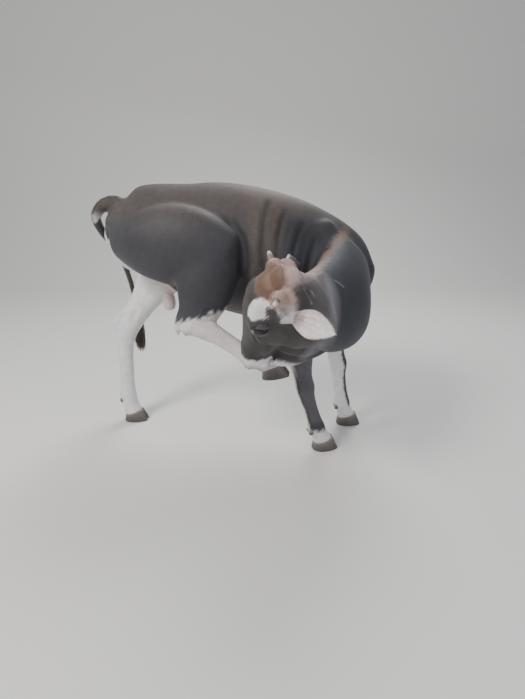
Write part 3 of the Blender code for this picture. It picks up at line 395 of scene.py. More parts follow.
def hind_leg_forms():
    """The standing left hind leg, and the right thigh, shank and lifted cannon, with the tendons to the
    hocks."""
    left = [
        (-0.44, 0.15, 0.93, 0.07, 0.12, 0.11),
        (-0.435, 0.185, 0.81, 0.072, 0.14, 0.13),
        (-0.44, 0.2, 0.7, 0.062, 0.104, 0.125),
        (-0.5, 0.195, 0.6, 0.05, 0.056, 0.1),
        (-0.585, 0.178, 0.5, 0.038, 0.05, 0.056),
        (-0.625, 0.168, 0.435, 0.037, 0.048, 0.05),
        (-0.633, 0.16, 0.37, 0.031, 0.037, 0.042),
        (-0.635, 0.155, 0.27, 0.028, 0.033, 0.036),
        (-0.637, 0.15, 0.17, 0.031, 0.034, 0.038),
        (-0.636, 0.147, 0.122, 0.036, 0.038, 0.043),
        (-0.628, 0.146, 0.085, 0.035, 0.035, 0.038),
        (-0.618, 0.145, 0.045, 0.04, 0.042, 0.042),
        (-0.613, 0.145, 0.025, 0.041, 0.044, 0.044),
    ]
    heel_left = [(-0.56, 0.19, 0.6, 0.02, 0.022, 0.022), (-0.625, 0.175, 0.53, 0.016, 0.018, 0.018),
                 (-0.668, 0.168, 0.476, 0.02, 0.02, 0.02), (-0.64, 0.165, 0.43, 0.024, 0.024, 0.024)]
    thigh = [
        (-0.56, 0.015, 0.89, 0.08, 0.085, 0.11),
        (-0.46, -0.035, 0.882, 0.11, 0.125, 0.152),
        (-0.34, -0.078, 0.872, 0.118, 0.152, 0.172),
        (-0.23, -0.115, 0.85, 0.1, 0.145, 0.16),
        (-0.14, -0.135, 0.82, 0.07, 0.11, 0.12),
    ]
    shank = [
        (-0.195, -0.13, 0.86, 0.075, 0.11, 0.115),
        (-0.21, -0.15, 0.77, 0.07, 0.125, 0.125),
        (-0.228, -0.172, 0.69, 0.058, 0.115, 0.11),
        (-0.245, -0.188, 0.62, 0.045, 0.085, 0.08),
        (-0.252, -0.198, 0.57, 0.04, 0.06, 0.06),
    ]
    heel_right = [(-0.285, -0.18, 0.67, 0.025, 0.028, 0.028), (-0.318, -0.195, 0.6, 0.02, 0.02, 0.02),
                  (-0.322, -0.202, 0.556, 0.022, 0.022, 0.022), (-0.28, -0.203, 0.563, 0.03, 0.03, 0.03)]
    cannon = [
        (-0.27, -0.2, 0.573, 0.038, 0.05, 0.04),
        (-0.215, -0.208, 0.556, 0.037, 0.046, 0.042),
        (-0.16, -0.217, 0.529, 0.031, 0.036, 0.037),
        (-0.1, -0.226, 0.492, 0.029, 0.033, 0.036),
        (-0.045, -0.235, 0.456, 0.035, 0.037, 0.041),
        (-0.005, -0.241, 0.438, 0.034, 0.035, 0.037),
        (0.035, -0.246, 0.424, 0.039, 0.042, 0.042),
        (0.055, -0.249, 0.416, 0.04, 0.044, 0.044),
    ]
    return [
        tube(left, up=(1, 0, 0), rings=48),
        tube(heel_left, up=(1, 0, 0), rings=14, sides=16),
        tube(thigh, up=(0, 0, 1), rings=20, sides=28),
        tube(shank, up=(1, 0, 0), rings=20),
        tube(heel_right, up=(1, 0, 0), rings=14, sides=16),
        tube(cannon, up=(0.45, 0, 1), rings=28),
    ]


def neck_forms():
    """The neck from the shoulders round to the back of the head, the throat and its fold."""
    rows = [
        (0.2, 0.01, 0.76, 0.15, 0.19, 0.22),
        (0.3, -0.08, 0.742, 0.12, 0.165, 0.205),
        (0.297, -0.21, 0.714, 0.1, 0.15, 0.195),
        (0.24, -0.32, 0.699, 0.088, 0.137, 0.185),
        (0.17, -0.408, 0.709, 0.08, 0.117, 0.165),
        (0.12, -0.47, 0.74, 0.075, 0.1, 0.13),
        (0.085, -0.49, 0.745, 0.07, 0.09, 0.1),
    ]
    up = [(0, 0, 1), (-0.15, 0, 1), (-0.35, 0, 0.94), (-0.5, -0.05, 0.86), (-0.6, -0.1, 0.79),
          (-0.75, -0.2, 0.6),
          (-0.8, -0.25, 0.5)]
    throat = [
        (0.2, -0.34, 0.6, 0.06, 0.08, 0.075),
        (0.135, -0.4, 0.59, 0.055, 0.08, 0.07),
        (0.08, -0.43, 0.6, 0.045, 0.07, 0.06),
    ]
    fold = [
        (0.245, -0.3, 0.585, 0.045, 0.06, 0.06),
        (0.19, -0.35, 0.552, 0.042, 0.06, 0.052),
        (0.14, -0.372, 0.53, 0.036, 0.06, 0.044),
        (0.092, -0.388, 0.513, 0.03, 0.055, 0.038),
        (0.05, -0.4, 0.512, 0.026, 0.05, 0.03),
    ]
    return [
        tube(rows, up=up, rings=32, sides=32),
        tube(throat, up=(-0.5, 0, 0.86), rings=10, sides=20),
        tube(fold, up=(-0.2, 0.1, 1.0), rings=14, sides=20),
    ]


def head_forms():
    """Skull, jaw, cheeks, brows, muzzle and lips, in the head's own frame and then carried into the pose."""
    skull = [
        (-0.014, -0.045, 0.066, 0.045, 0.045),
        (0.012, -0.05, 0.09, 0.078, 0.066),
        (0.05, -0.055, 0.096, 0.108, 0.09),
        (0.095, -0.06, 0.099, 0.121, 0.096),
        (0.148, -0.062, 0.099, 0.118, 0.092),
        (0.19, -0.062, 0.09, 0.104, 0.08),
        (0.235, -0.062, 0.073, 0.088, 0.066),
        (0.282, -0.062, 0.062, 0.073, 0.056),
        (0.328, -0.062, 0.06, 0.062, 0.051),
        (0.362, -0.064, 0.061, 0.05, 0.046),
        (0.384, -0.068, 0.054, 0.036, 0.036),
    ]
    jaw = [
        (0.06, -0.158, 0.052, 0.06, 0.047),
        (0.1, -0.17, 0.067, 0.07, 0.057),
        (0.155, -0.172, 0.068, 0.075, 0.056),
        (0.215, -0.162, 0.06, 0.064, 0.05),
        (0.27, -0.148, 0.053, 0.05, 0.044),
        (0.315, -0.137, 0.048, 0.038, 0.038),
        (0.346, -0.128, 0.044, 0.027, 0.034),
        (0.366, -0.121, 0.036, 0.019, 0.026),
    ]
    skull = [(a, 0, n, w, up, down) for a, n, w, up, down in skull]
    jaw = [(a, 0, n, w, up, down) for a, n, w, up, down in jaw]
    forms = [
        tube(skull, rings=32, sides=32, dome=0.45, full=0.82),
        tube(jaw, rings=24, sides=24, dome=0.5, full=0.9),
        ball((0.388, 0, -0.06), (0.017, 0.045, 0.034)),
        ball((0.345, 0, -0.14), (0.036, 0.036, 0.024)),
    ]
    for side in (-1, 1):
        forms += [
            ball((0.12, 0.066 * side, -0.135), (0.095, 0.038, 0.09)),
            ball((0.132, 0.08 * side, 0.0), (0.048, 0.028, 0.04)),
            ball((0.11, 0.058 * side, 0.022), (0.06, 0.03, 0.03)),
            ball((0.215, 0.066 * side, -0.066), (0.075, 0.014, 0.016)),
            ball((0.364, 0.04 * side, -0.045), (0.028, 0.025, 0.025)),
            ball((0.358, 0.034 * side, -0.096), (0.038, 0.031, 0.019)),
            ball((0.01, 0.078 * side, -0.01), (0.03, 0.022, 0.028)),
            ball((0.042, 0.096 * side, -0.07), (0.028, 0.032, 0.028)),
        ]
    return [(from_head(points), quads, fans) for points, quads, fans in forms]


def tail_forms():
    """The tail from the rump out and down behind the left leg, and the scrotum between the hind legs."""
    tail = [
        (-0.585, 0.07, 1.018, 0.034, 0.032, 0.032),
        (-0.65, 0.075, 1.006, 0.03, 0.027, 0.027),
        (-0.69, 0.09, 0.963, 0.025, 0.023, 0.023),
        (-0.684, 0.135, 0.893, 0.02, 0.019, 0.019),
        (-0.652, 0.195, 0.82, 0.015, 0.015, 0.015),
        (-0.628, 0.248, 0.72, 0.014, 0.014, 0.014),
        (-0.608, 0.274, 0.6, 0.013, 0.013, 0.013),
        (-0.602, 0.278, 0.5, 0.012, 0.012, 0.012),
        (-0.602, 0.276, 0.43, 0.01, 0.01, 0.01),
    ]
    purse = [(-0.405, 0.05, 0.7, 0.03, 0.04, 0.034), (-0.403, 0.05, 0.655, 0.023, 0.024, 0.024),
             (-0.4, 0.05, 0.612, 0.033, 0.03, 0.03), (-0.398, 0.05, 0.582, 0.029, 0.026, 0.026)]
    return [tube(tail, up=(1, 0.2, 0.3), rings=36, sides=16), tube(purse, up=(1, 0, 0), rings=12, sides=16)]


# The skin


def mesh_arrays(mesh):
    """Points and triangles of a mesh as arrays."""
    points = np.empty(len(mesh.vertices) * 3, np.float32)
    mesh.vertices.foreach_get("co", points)
    mesh.calc_loop_triangles()
    corners = np.empty(len(mesh.loop_triangles) * 3, np.int32)
    mesh.loop_triangles.foreach_get("vertices", corners)
    return points.reshape(-1, 3).astype(float) - OFFSET, corners.reshape(-1, 3)


def set_points(mesh, points):
    """Moves the mesh's points to these places."""
    mesh.vertices.foreach_set("co", (points + OFFSET).astype(np.float32).ravel())
    mesh.update()


def point_normals(mesh):
    """The mesh's normals as an array."""
    normals = np.empty(len(mesh.vertices) * 3, np.float32)
    mesh.vertex_normals.foreach_get("vector", normals)
    return normals.reshape(-1, 3).astype(float)


def settle(obj):
    """Gives the object the mesh that its modifiers make."""
    graph = bpy.context.evaluated_depsgraph_get()
    mesh = bpy.data.meshes.new_from_object(obj.evaluated_get(graph))
    obj.modifiers.clear()
    old = obj.data
    obj.data = mesh
    bpy.data.meshes.remove(old)


def smoothed(obj, factor, steps, share=None):
    """Runs the points of the mesh towards their neighbours, as much as share says for each point."""
    step = obj.modifiers.new("smooth", "SMOOTH")
    step.factor = factor
    step.iterations = steps
    if share is not None:
        group = obj.vertex_groups.new(name="share")
        for level in np.unique(np.round(share, 1)):
            if level > 0:
                group.add(np.flatnonzero(np.round(share, 1) == level).tolist(), float(level), "REPLACE")
        step.vertex_group = "share"
    settle(obj)
    obj.vertex_groups.clear()


def head_share(points):
    """How far a point belongs to the head: 1 on it, 0 on the neck."""
    a, l, n = to_head(points).T
    share = np.clip((0.22 - np.sqrt(((a - 0.13) / 1.3) ** 2 + l**2 + (n + 0.06) ** 2)) / 0.04, 0, 1)
    leg = path_distance(points, [row[:3] for row in AXES["hind_leg_right"]])[0]
    return share * (1 - ease(np.abs(l), 0.125, 0.15)) * ease(leg, 0.046, 0.052)


def trunk_share(points):
    """How far a point belongs to the trunk and neck, whose muscles run softly into one another."""
    x, y, z = points.T
    tail = np.clip((-0.59 - x) / 0.03, 0, 1)
    tail += np.clip((-0.55 - x) / 0.03, 0, 1) * np.clip((y - 0.2) / 0.03, 0, 1)
    return np.clip((z - 0.6) / 0.1, 0, 1) * (1 - head_share(points)) * np.clip(1 - tail, 0, 1)


def refined(obj, inside):
    """Parts each edge in two where the function inside says so of its faces' middles."""
    shape = bmesh.new()
    shape.from_mesh(obj.data)
    middles = np.array([face.calc_center_median() for face in shape.faces]) - OFFSET
    keep = inside(middles)
    edges = {edge for face, kept in zip(shape.faces, keep) if kept for edge in face.edges}
    bmesh.ops.subdivide_edges(shape, edges=list(edges), cuts=1, use_grid_fill=True, smooth=0.0)
    odd = [face for face in shape.faces if len(face.verts) > 4]
    bmesh.ops.triangulate(shape, faces=odd)
    shape.to_mesh(obj.data)
    shape.free()
    obj.data.update()


def groove(points, path, width, depth):
    """How deep a fold along a path of points cuts in: depth * exp(-(distance / width) squared), drawn in at
    both ends, with a low swell at each side of it."""
    best, share = path_distance(points, path)
    ends = ease(share, -0.02, 0.18) * (1 - ease(share, 0.82, 1.02))
    reach = best / width
    return depth * ends * (np.exp(-(reach**2)) - 0.45 * np.exp(-((reach - 2.1) ** 2)))


# Folds of shoulder, flank and thighs, and tendons of the legs, in the calf's own measures: path, width and
# depth. The first ones also get painted shade along them.
SHADED_FOLDS = 7
FOLDS = [
    ([(0.021, -0.032, 1.032), (0.004, -0.1, 0.94), (-0.002, -0.144, 0.855), (0.01, -0.15, 0.76)], 0.011,
     0.005),
    ([(0.085, -0.06, 1.0), (0.06, -0.125, 0.9), (0.05, -0.15, 0.8), (0.06, -0.15, 0.7)], 0.01, 0.0045),
    ([(0.15, -0.08, 0.95), (0.12, -0.135, 0.86), (0.1, -0.155, 0.76), (0.11, -0.16, 0.66)], 0.01, 0.005),
    ([(0.21, -0.11, 0.92), (0.18, -0.155, 0.83), (0.165, -0.175, 0.74)], 0.009, 0.0045),
    ([(0.255, -0.15, 0.9), (0.225, -0.185, 0.82), (0.215, -0.2, 0.73)], 0.008, 0.004),
    ([(-0.143, -0.104, 0.963), (-0.095, -0.135, 0.88), (-0.086, -0.152, 0.8), (-0.11, -0.15, 0.7)], 0.012,
     0.005),
    ([(-0.11, -0.09, 0.96), (-0.062, -0.125, 0.9), (-0.048, -0.15, 0.81), (-0.062, -0.15, 0.7)], 0.01, 0.004),
    ([(0.35, -0.09, 0.9), (0.375, -0.11, 0.8), (0.372, -0.12, 0.7)], 0.016, 0.003),
    ([(-0.25, -0.26, 0.66), (-0.215, -0.235, 0.64), (-0.175, -0.205, 0.64)], 0.006, 0.0028),
    ([(-0.262, -0.24, 0.635), (-0.22, -0.238, 0.618), (-0.18, -0.215, 0.618)], 0.005, 0.0026),
    ([(-0.262, -0.24, 0.612), (-0.225, -0.238, 0.597), (-0.19, -0.225, 0.595)], 0.005, 0.0022),
    ([(-0.6, 0.12, 0.64), (-0.56, 0.135, 0.56), (-0.6, 0.14, 0.48)], 0.01, 0.003),
    ([(-0.54, 0.13, 0.7), (-0.59, 0.135, 0.6), (-0.64, 0.15, 0.5)], 0.008, 0.003),
    ([(0.137, -0.13, 0.27), (0.17, -0.122, 0.2), (0.205, -0.12, 0.13)], 0.006, 0.002),
    ([(0.15, -0.2, 0.27), (0.18, -0.185, 0.2), (0.21, -0.175, 0.13)], 0.006, 0.002),
    ([(0.325, 0.07, 0.27), (0.345, 0.075, 0.2), (0.358, 0.075, 0.13)], 0.006, 0.002),
    ([(0.325, 0.14, 0.27), (0.345, 0.135, 0.2), (0.358, 0.14, 0.13)], 0.006, 0.002),
    ([(-0.65, 0.125, 0.33), (-0.652, 0.122, 0.25), (-0.65, 0.118, 0.17)], 0.006, 0.002),
    ([(-0.65, 0.188, 0.33), (-0.652, 0.18, 0.25), (-0.65, 0.178, 0.17)], 0.006, 0.002),
    ([(-0.21, -0.25, 0.54), (-0.15, -0.25, 0.508), (-0.09, -0.262, 0.47)], 0.006, 0.002),
    ([(-0.64, 0.02, 0.9), (-0.625, 0.05, 0.84), (-0.56, 0.06, 0.76)], 0.01, 0.004),
]

# Folds of the head in its own frame, drawn on both sides: path, width and depth.
HEAD_FOLDS = [
    ([(0.165, 0.092, 0.02), (0.195, 0.08, 0.006), (0.228, 0.07, -0.03)], 0.006, 0.0022),
    ([(0.094, 0.088, 0.034), (0.086, 0.1, 0.012), (0.088, 0.108, -0.012)], 0.0045, 0.0018),
    ([(0.195, 0.086, -0.06), (0.235, 0.074, -0.068), (0.28, 0.066, -0.064), (0.318, 0.062, -0.058)], 0.006,
     0.0018),
    ([(0.09, 0.112, -0.05), (0.12, 0.116, -0.09), (0.17, 0.108, -0.12), (0.22, 0.09, -0.128)], 0.01, 0.0025),
    ([(0.075, 0.098, -0.18), (0.13, 0.086, -0.215), (0.2, 0.076, -0.205), (0.27, 0.06, -0.18)], 0.007,
     0.0022),
]


def eye_frame(side):
    """Middle of the eye, the way it looks, the way to its inner corner and the way up. Side is 1 for the
    left."""
    middle = from_head((0.128, 0.0895 * side, -0.001))
    out = unit(HEAD_TURN @ np.array((0.3, 0.93 * side, 0.18)))
    inner = HEAD_TURN @ np.array((0.42, -0.25 * side, 0.87))
    inner = unit(inner - inner.dot(out) * out)
    return middle, out, inner, np.cross(out, inner) * -side


def skin_relief(points):
    """How far each point moves along its normal: folds, the mouth's line, the groove under the nose, and
    ribs."""
    move = np.zeros(len(points))
    for path, width, depth in FOLDS:
        move -= groove(points, path, width, depth)
    near = head_share(points) > 0
    local = to_head(points)[near]
    mirror = local * (1, -1, 1)
    for path, width, depth in HEAD_FOLDS:
        move[near] -= groove(local, path, width, depth) + groove(mirror, path, width, depth)
    half = [(0.27, 0.073, -0.119), (0.3, 0.069, -0.117), (0.34, 0.062, -0.114), (0.372, 0.045, -0.111)]
    mouth = half + [(0.396, 0.0, -0.109)] + [(a, -l, n) for a, l, n in reversed(half)]
    move[near] -= groove(local, mouth, 0.0034, 0.006)
    under_nose = [(0.395, 0.0, -0.02), (0.408, 0.0, -0.06), (0.405, 0.0, -0.095)]
    move[near] -= groove(local, under_nose, 0.004, 0.0012)
    x, y, z = points.T
    rib = np.sin((x + 0.22 * (z - 0.8)) * 2 * math.pi / 0.052)
    ribbed = ease(x, -0.16, -0.06) * (1 - ease(x, 0.02, 0.12))
    ribbed *= ease(z, 0.62, 0.72) * (1 - ease(z, 0.92, 1.0))
    move += 0.0003 * rib * ribbed * np.where(y > 0.06, 1.0, 0.6)
    return move


def coat_depth(points):
    """How far the skin lies under the solids' surface: thin on the face and legs, deeper on body and tail."""
    legs = 1 - ease(points[:, 2], 0.42, 0.6)
    return 0.0018 - 0.0008 * np.clip(head_share(points) + legs, 0, 1)


def feet_tucked(points):
    """Draws what hangs under each coronet into the hoof, so that the leg ends inside the claws."""
    for foot in FEET.values():
        at, toe, left, down = foot_axes(foot)
        local = points - at
        f, s, d = local @ toe, local @ left, local @ down
        under = d + CORONET_LEAN * f
        close = (np.abs(f) < 0.09) & (np.abs(s) < 0.07) & (d > -0.035) & (d < 0.1)
        shrink = 1 - 0.16 * ease(under, -0.001, 0.006)
        f, s = f * shrink, s * shrink
        d = np.where(under > 0.004, -CORONET_LEAN * f + 0.004 + 0.2 * (under - 0.004), d)
        moved = at + f[:, None] * toe + s[:, None] * left + d[:, None] * down
        points = np.where(close[:, None], moved, points)
    return points


def eyes_sunk(points):
    """Under each ball and its lids the skin is drawn in, so that only the lids' own surface shows there."""
    for side in (1, -1):
        middle, out, inner, up = eye_frame(side)
        local = points - middle
        far = np.linalg.norm(local, axis=1)
        way = local / far[:, None]
        turn = np.arctan2(way @ inner, way @ out)
        lift = np.arcsin(np.clip(way @ up, -1, 1))
        bound = np.sqrt((turn / 1.24) ** 2 + ((lift - 0.05) / 0.68) ** 2)
        sunk = (way @ out > 0) & (far < 0.045)
        drawn = np.minimum(far, EYE_RADIUS - 0.0025)
        share = (1 - ease(bound, 0.8, 1.0)) * sunk
        points = middle + way * (far + (drawn - far) * share)[:, None]
    return points


def nostrils(points, normals):
    """The comma-shaped pits of the nostrils: depth falls off with the distance from a bent line, in shares of
    the line's own width, and a low wing runs round it."""
    head = to_head(points)
    move = np.zeros(len(points))
    path = np.array([(0.404, 0.026, -0.056), (0.4, 0.036, -0.046), (0.392, 0.046, -0.04),
                     (0.381, 0.054, -0.04), (0.372, 0.06, -0.044)])
    for side in (1, -1):
        local = head * (1, side, 1)
        best = np.full(len(points), 9.0)
        wide = np.full(len(points), 1.0)
        for k in range(len(path) - 1):
            start, way = path[k], path[k + 1] - path[k]
            t = np.clip((local - start) @ way / way.dot(way), 0, 1)
            far = np.linalg.norm(local - start - t[:, None] * way, axis=1)
            size = 0.0085 - 0.005 * (k + t) / (len(path) - 1)
            near = far / size < best / wide
            best = np.where(near, far, best)
            wide = np.where(near, size, wide)
        reach = best / wide
        move -= 0.012 * np.exp(-(reach**4)) * (wide / 0.0085)
        move += 0.0022 * np.exp(-(((reach - 1.55) / 0.35) ** 2))
    return points + normals * move[:, None]


def ear_way(side):
    """Root of the ear, the way along it, across it and the way its cup faces."""
    base = from_head((0.036, 0.116 * side, -0.074))
    along, face = EAR_WAYS[side]
    along = unit(HEAD_TURN @ np.array(along))
    face = HEAD_TURN @ np.array(face)
    face = unit(face - face.dot(along) * along)
    return base, along, np.cross(along, face), face


def ear_roots():
    """Cones of skin that run from the head into the roots of both ears."""
    forms = []
    for side in (1, -1):
        base, along, _, face = ear_way(side)
        rows = []
        for reach, wide, thick in ((-0.045, 0.04, 0.04), (-0.022, 0.03, 0.029), (-0.004, 0.0235, 0.02),
                                   (0.01, 0.0205, 0.015)):
            rows.append((*(base + along * reach), wide, thick, thick))
        forms.append(tube(rows, up=tuple(face), rings=12, sides=20, dome=0.2))
    return forms


def skin_object():
    """The whole skin: forms melted into one surface, smoothed, refined on the head, and given its relief."""
    forms = torso_forms() + fore_leg_forms() + hind_leg_forms() + neck_forms() + head_forms() + tail_forms()
    forms += ear_roots()
    skin = surface("skin", *merged(forms))
    melt = skin.modifiers.new("melt", "REMESH")
    melt.mode = "VOXEL"
    melt.voxel_size = bpy.context.scene.calf_sizes.skin_grain
    settle(skin)
    smoothed(skin, 0.5, 8)
    points = mesh_arrays(skin.data)[0]
    smoothed(skin, 0.7, 80, trunk_share(points))
    refined(skin, lambda p: (to_head(p)[:, 0] > 0.02) & (head_share(p) > 0.5))
    points = mesh_arrays(skin.data)[0]
    smoothed(skin, 0.5, 3, (head_share(points) > 0.3) * 1.0)
    refined(skin, lambda p: (to_head(p)[:, 0] > 0.342) & (head_share(p) > 0.5))
    points = mesh_arrays(skin.data)[0]
    smoothed(skin, 0.5, 3, (to_head(points)[:, 0] > 0.32) * (head_share(points) > 0.15) * 1.0)
    points = mesh_arrays(skin.data)[0]
    normals = point_normals(skin.data)
    points = points + normals * (skin_relief(points) - coat_depth(points))[:, None]
    points = feet_tucked(points)
    set_points(skin.data, points)
    points = nostrils(points, point_normals(skin.data))
    points = eyes_sunk(points)
    set_points(skin.data, points)
    skin.data.polygons.foreach_set("use_smooth", np.ones(len(skin.data.polygons), bool))
    return skin


# Lie of the hair


def lie_of_hair(points):
    """For each point: the nearest axis, how far along it, the offset from it, and the way the hair lies
    there."""
    names = list(AXES)
    count = len(points)
    best = np.full(count, 99.0)
    which = np.zeros(count, int)
    along = np.zeros(count)
    offset = np.zeros((count, 3))
    way = np.zeros((count, 3))
    for index, name in enumerate(names):
        rows = flow_through(AXES[name], AXIS_STEPS)
        path, radius = rows[:, :3], rows[:, 3]
        tangent = unit(np.gradient(path, axis=0))
        steps = np.concatenate([[0], np.cumsum(np.linalg.norm(np.diff(path, axis=0), axis=1))])
        near = np.full(count, 99.0)
        at = np.zeros(count, int)
        for k in range(len(path)):
            far = ((points - path[k]) ** 2).sum(1) / radius[k] ** 2
            hit = far < near
            near[hit] = far[hit]
            at[hit] = k
        far = np.sqrt(near)
        soft = np.exp(-5.0 * far)
        way += soft[:, None] * tangent[at]
        hit = far < best
        best[hit] = far[hit]
        which[hit] = index
        slip = ((points - path[at]) * tangent[at]).sum(1)
        along[hit] = (steps[at] + slip - steps[-1] / 2)[hit]
        offset[hit] = (points - path[at] - slip[:, None] * tangent[at])[hit]
    return np.array(names)[which], along, offset, unit(way)


def hair_way(points, normals):
    """The way the hair lies on the skin, and the limb it lies on: along the limbs, a little down on the
    trunk, down the bridge of the nose and up the cheeks on the head."""
    name, _, _, way = lie_of_hair(points)
    way = way + np.where(np.isin(name, ("torso", "neck")), 0.35, 0.0)[:, None] * np.array((0, 0, -1.0))
    a, _, n = to_head(points).T
    on_head = head_share(points)
    front = on_head * ease(n, -0.045, 0.0) * ease(a, 0.09, 0.13)
    back = unit(HEAD_TURN @ np.array((-1.0, 0.0, -0.25)))
    way = way * (1 - on_head)[:, None] + on_head[:, None] * back
    way = way * (1 - front)[:, None] + front[:, None] * HEAD_TURN[:, 0]
    return unit(along_surface(way, normals)), name


def unwrapped(points):
    """Places on a flat unwrap of the skin: each limb is a band, with the turn round its axis across it and
    the way along the axis up it."""
    name, along, offset, _ = lie_of_hair(points)
    places = np.zeros((len(points), 2))
    bands = {"torso": (0.0, 0.0, 0.3, 0.48), "neck": (0.32, 0.0, 0.2, 0.4), "head": (0.54, 0.0, 0.2, 0.4),
             "thigh_right": (0.76, 0.0, 0.22, 0.4), "fore_leg_right": (0.0, 0.52, 0.14, 0.46),
             "fore_leg_left": (0.16, 0.52, 0.14, 0.46), "hind_leg_left": (0.32, 0.52, 0.18, 0.46),
             "hind_leg_right": (0.52, 0.52, 0.14, 0.3), "tail": (0.68, 0.52, 0.08, 0.46)}
    for key, (left, low, wide, high) in bands.items():
        hit = name == key
        if not hit.any():
            continue
        way_across = (0, 0, 1) if key in ("torso", "neck", "tail", "hind_leg_right") else (1, 0, 0)
        rows = flow_through(AXES[key], AXIS_STEPS)
        mean = unit(rows[-1, :3] - rows[0, :3])
        one = unit(np.array(way_across, float) - np.dot(way_across, mean) * mean)
        two = np.cross(mean, one)
        turn = np.arctan2(offset[hit] @ two, offset[hit] @ one) / (2 * math.pi) + 0.5
        length = np.linalg.norm(np.diff(rows[:, :3], axis=0), axis=1).sum()
        places[hit, 0] = left + wide * (0.02 + 0.96 * turn)
        places[hit, 1] = low + high * np.clip(0.5 + 0.9 * along[hit] / length, 0.01, 0.99)
    return places


# Markings


def hue(name):
    """A colour of the coat, as the panel gives it."""
    return np.array(getattr(bpy.context.scene.calf_colours, name))


def even(colour, points):
    """The same colour for every point."""
    return np.tile(colour, (len(points), 1))


def wobble(points, size, seed=0.0):
    """A soft uneven value between -1 and 1 that changes over about size metres: a sum of turned sine
    waves."""
    total = np.zeros(len(points))
    for k in range(6):
        turn = WAVE_TURN * k + seed
        way = np.array((math.cos(turn), math.sin(turn), math.cos(1.7 * turn + 1.0)))
        total += np.sin(points @ way * (2 * math.pi / size) * (0.7 + 0.22 * k) + 5.1 * k + seed)
    return total / 3.2


def blend(base, colour, share):
    """Colours that go over into another colour by a share for each point."""
    share = np.clip(share, 0, 1)[:, None]
    return base * (1 - share) + np.asarray(colour) * share


# The pale crest from the poll to the withers, and painted highlights along the neck's wrinkles.
CREST = [(0.075, -0.545, 0.83), (0.105, -0.505, 0.838), (0.135, -0.43, 0.825), (0.175, -0.327, 0.822),
         (0.208, -0.253, 0.83), (0.25, -0.188, 0.862), (0.293, -0.137, 0.892), (0.325, -0.056, 0.922)]
WRINKLE_HIGHLIGHTS = [
    [(0.126, -0.546, 0.797), (0.143, -0.536, 0.775), (0.156, -0.541, 0.745)],
    [(0.138, -0.53, 0.803), (0.156, -0.52, 0.78), (0.17, -0.525, 0.75)],
    [(0.194, -0.464, 0.782), (0.213, -0.479, 0.756)],
    [(0.204, -0.45, 0.786), (0.224, -0.462, 0.758)],
    [(0.248, -0.375, 0.787), (0.281, -0.37, 0.762)],
]


def coat_colour(points, normals):
    """The markings: slate body, browner back, dark neck, tan crest and poll, white star, muzzle ring, inner
    legs; with painted shade on the neck's shadowed right side and along the shoulder's folds, and painted
    highlights on the neck's wrinkles."""
    x, y, z = points.T
    name, _, offset, _ = lie_of_hair(points)
    rough = wobble(points, 0.045) * 0.6 + wobble(points, 0.018, 3.0) * 0.4
    broad = wobble(points, 0.3, 1.0)
    colour = even(hue("slate"), points)
    colour = blend(colour, hue("brown"), 0.55 * ease(z + 0.02 * rough, 0.86, 1.06) * (x < 0.36))
    colour = blend(colour, hue("brown") * 1.15,
                   0.45 * ease(x, -0.1, -0.02) * (1 - ease(x, 0.04, 0.12)) * ease(z, 0.6, 0.8))
    # Painted shade on the shadowed right side of shoulder and neck, in the bend where the neck meets the
    # flank.
    colour = blend(colour, hue("dark"),
                   0.75 * ease(x, 0.03, 0.14) * ease(-y, 0.02, 0.12) * ease(z, 0.55, 0.68)
                   * (1 - ease(z + 0.3 * y, 0.93, 0.99)))
    colour = blend(colour, hue("brown") * 1.5,
                   0.5 * (1 - ease(z, 0.56, 0.66)) * ease(-normals[:, 2], 0.1, 0.7))
    colour = colour * (1 + 0.1 * broad)[:, None]
    colour = blend(colour, hue("slate") * (0.72, 0.78, 0.86), 0.8 * (name == "neck"))
    # Painted shade along the first folds of shoulder and flank.
    for path, width, _ in FOLDS[:SHADED_FOLDS]:
        near = np.exp(-((path_distance(points, path)[0] / (1.3 * width)) ** 2))
        colour = colour * (1 - 0.42 * near)[:, None]
    colour = leg_colour(colour, points, offset, name, rough)
    colour = head_colour(colour, points, rough)
    far, share = path_distance(points, CREST)
    width = 0.046 - 0.026 * share
    stripe = (1 - ease(far + 0.01 * rough, 0.35 * width, 1.45 * width)) * (0.88 - 0.38 * share)
    stripe *= 1 - head_share(points) * ease(to_head(points)[:, 2], -0.04, -0.015)
    tone = blend(even(hue("pink") * (0.74, 0.7, 0.72), points), hue("tan") * (0.5, 0.51, 0.54),
                 ease(share, 0.3, 0.8))
    colour = blend(colour, tone, stripe)
    # Painted highlights along the tops of the neck's wrinkles.
    for path in WRINKLE_HIGHLIGHTS:
        near = 1 - ease(path_distance(points, path)[0], 0.0012, 0.0042)
        colour = blend(colour, hue("white") * 0.4, 0.55 * near)
    return np.clip(colour * (1 + 0.05 * wobble(points, 0.06, 7.0))[:, None], 0.004, 0.9)


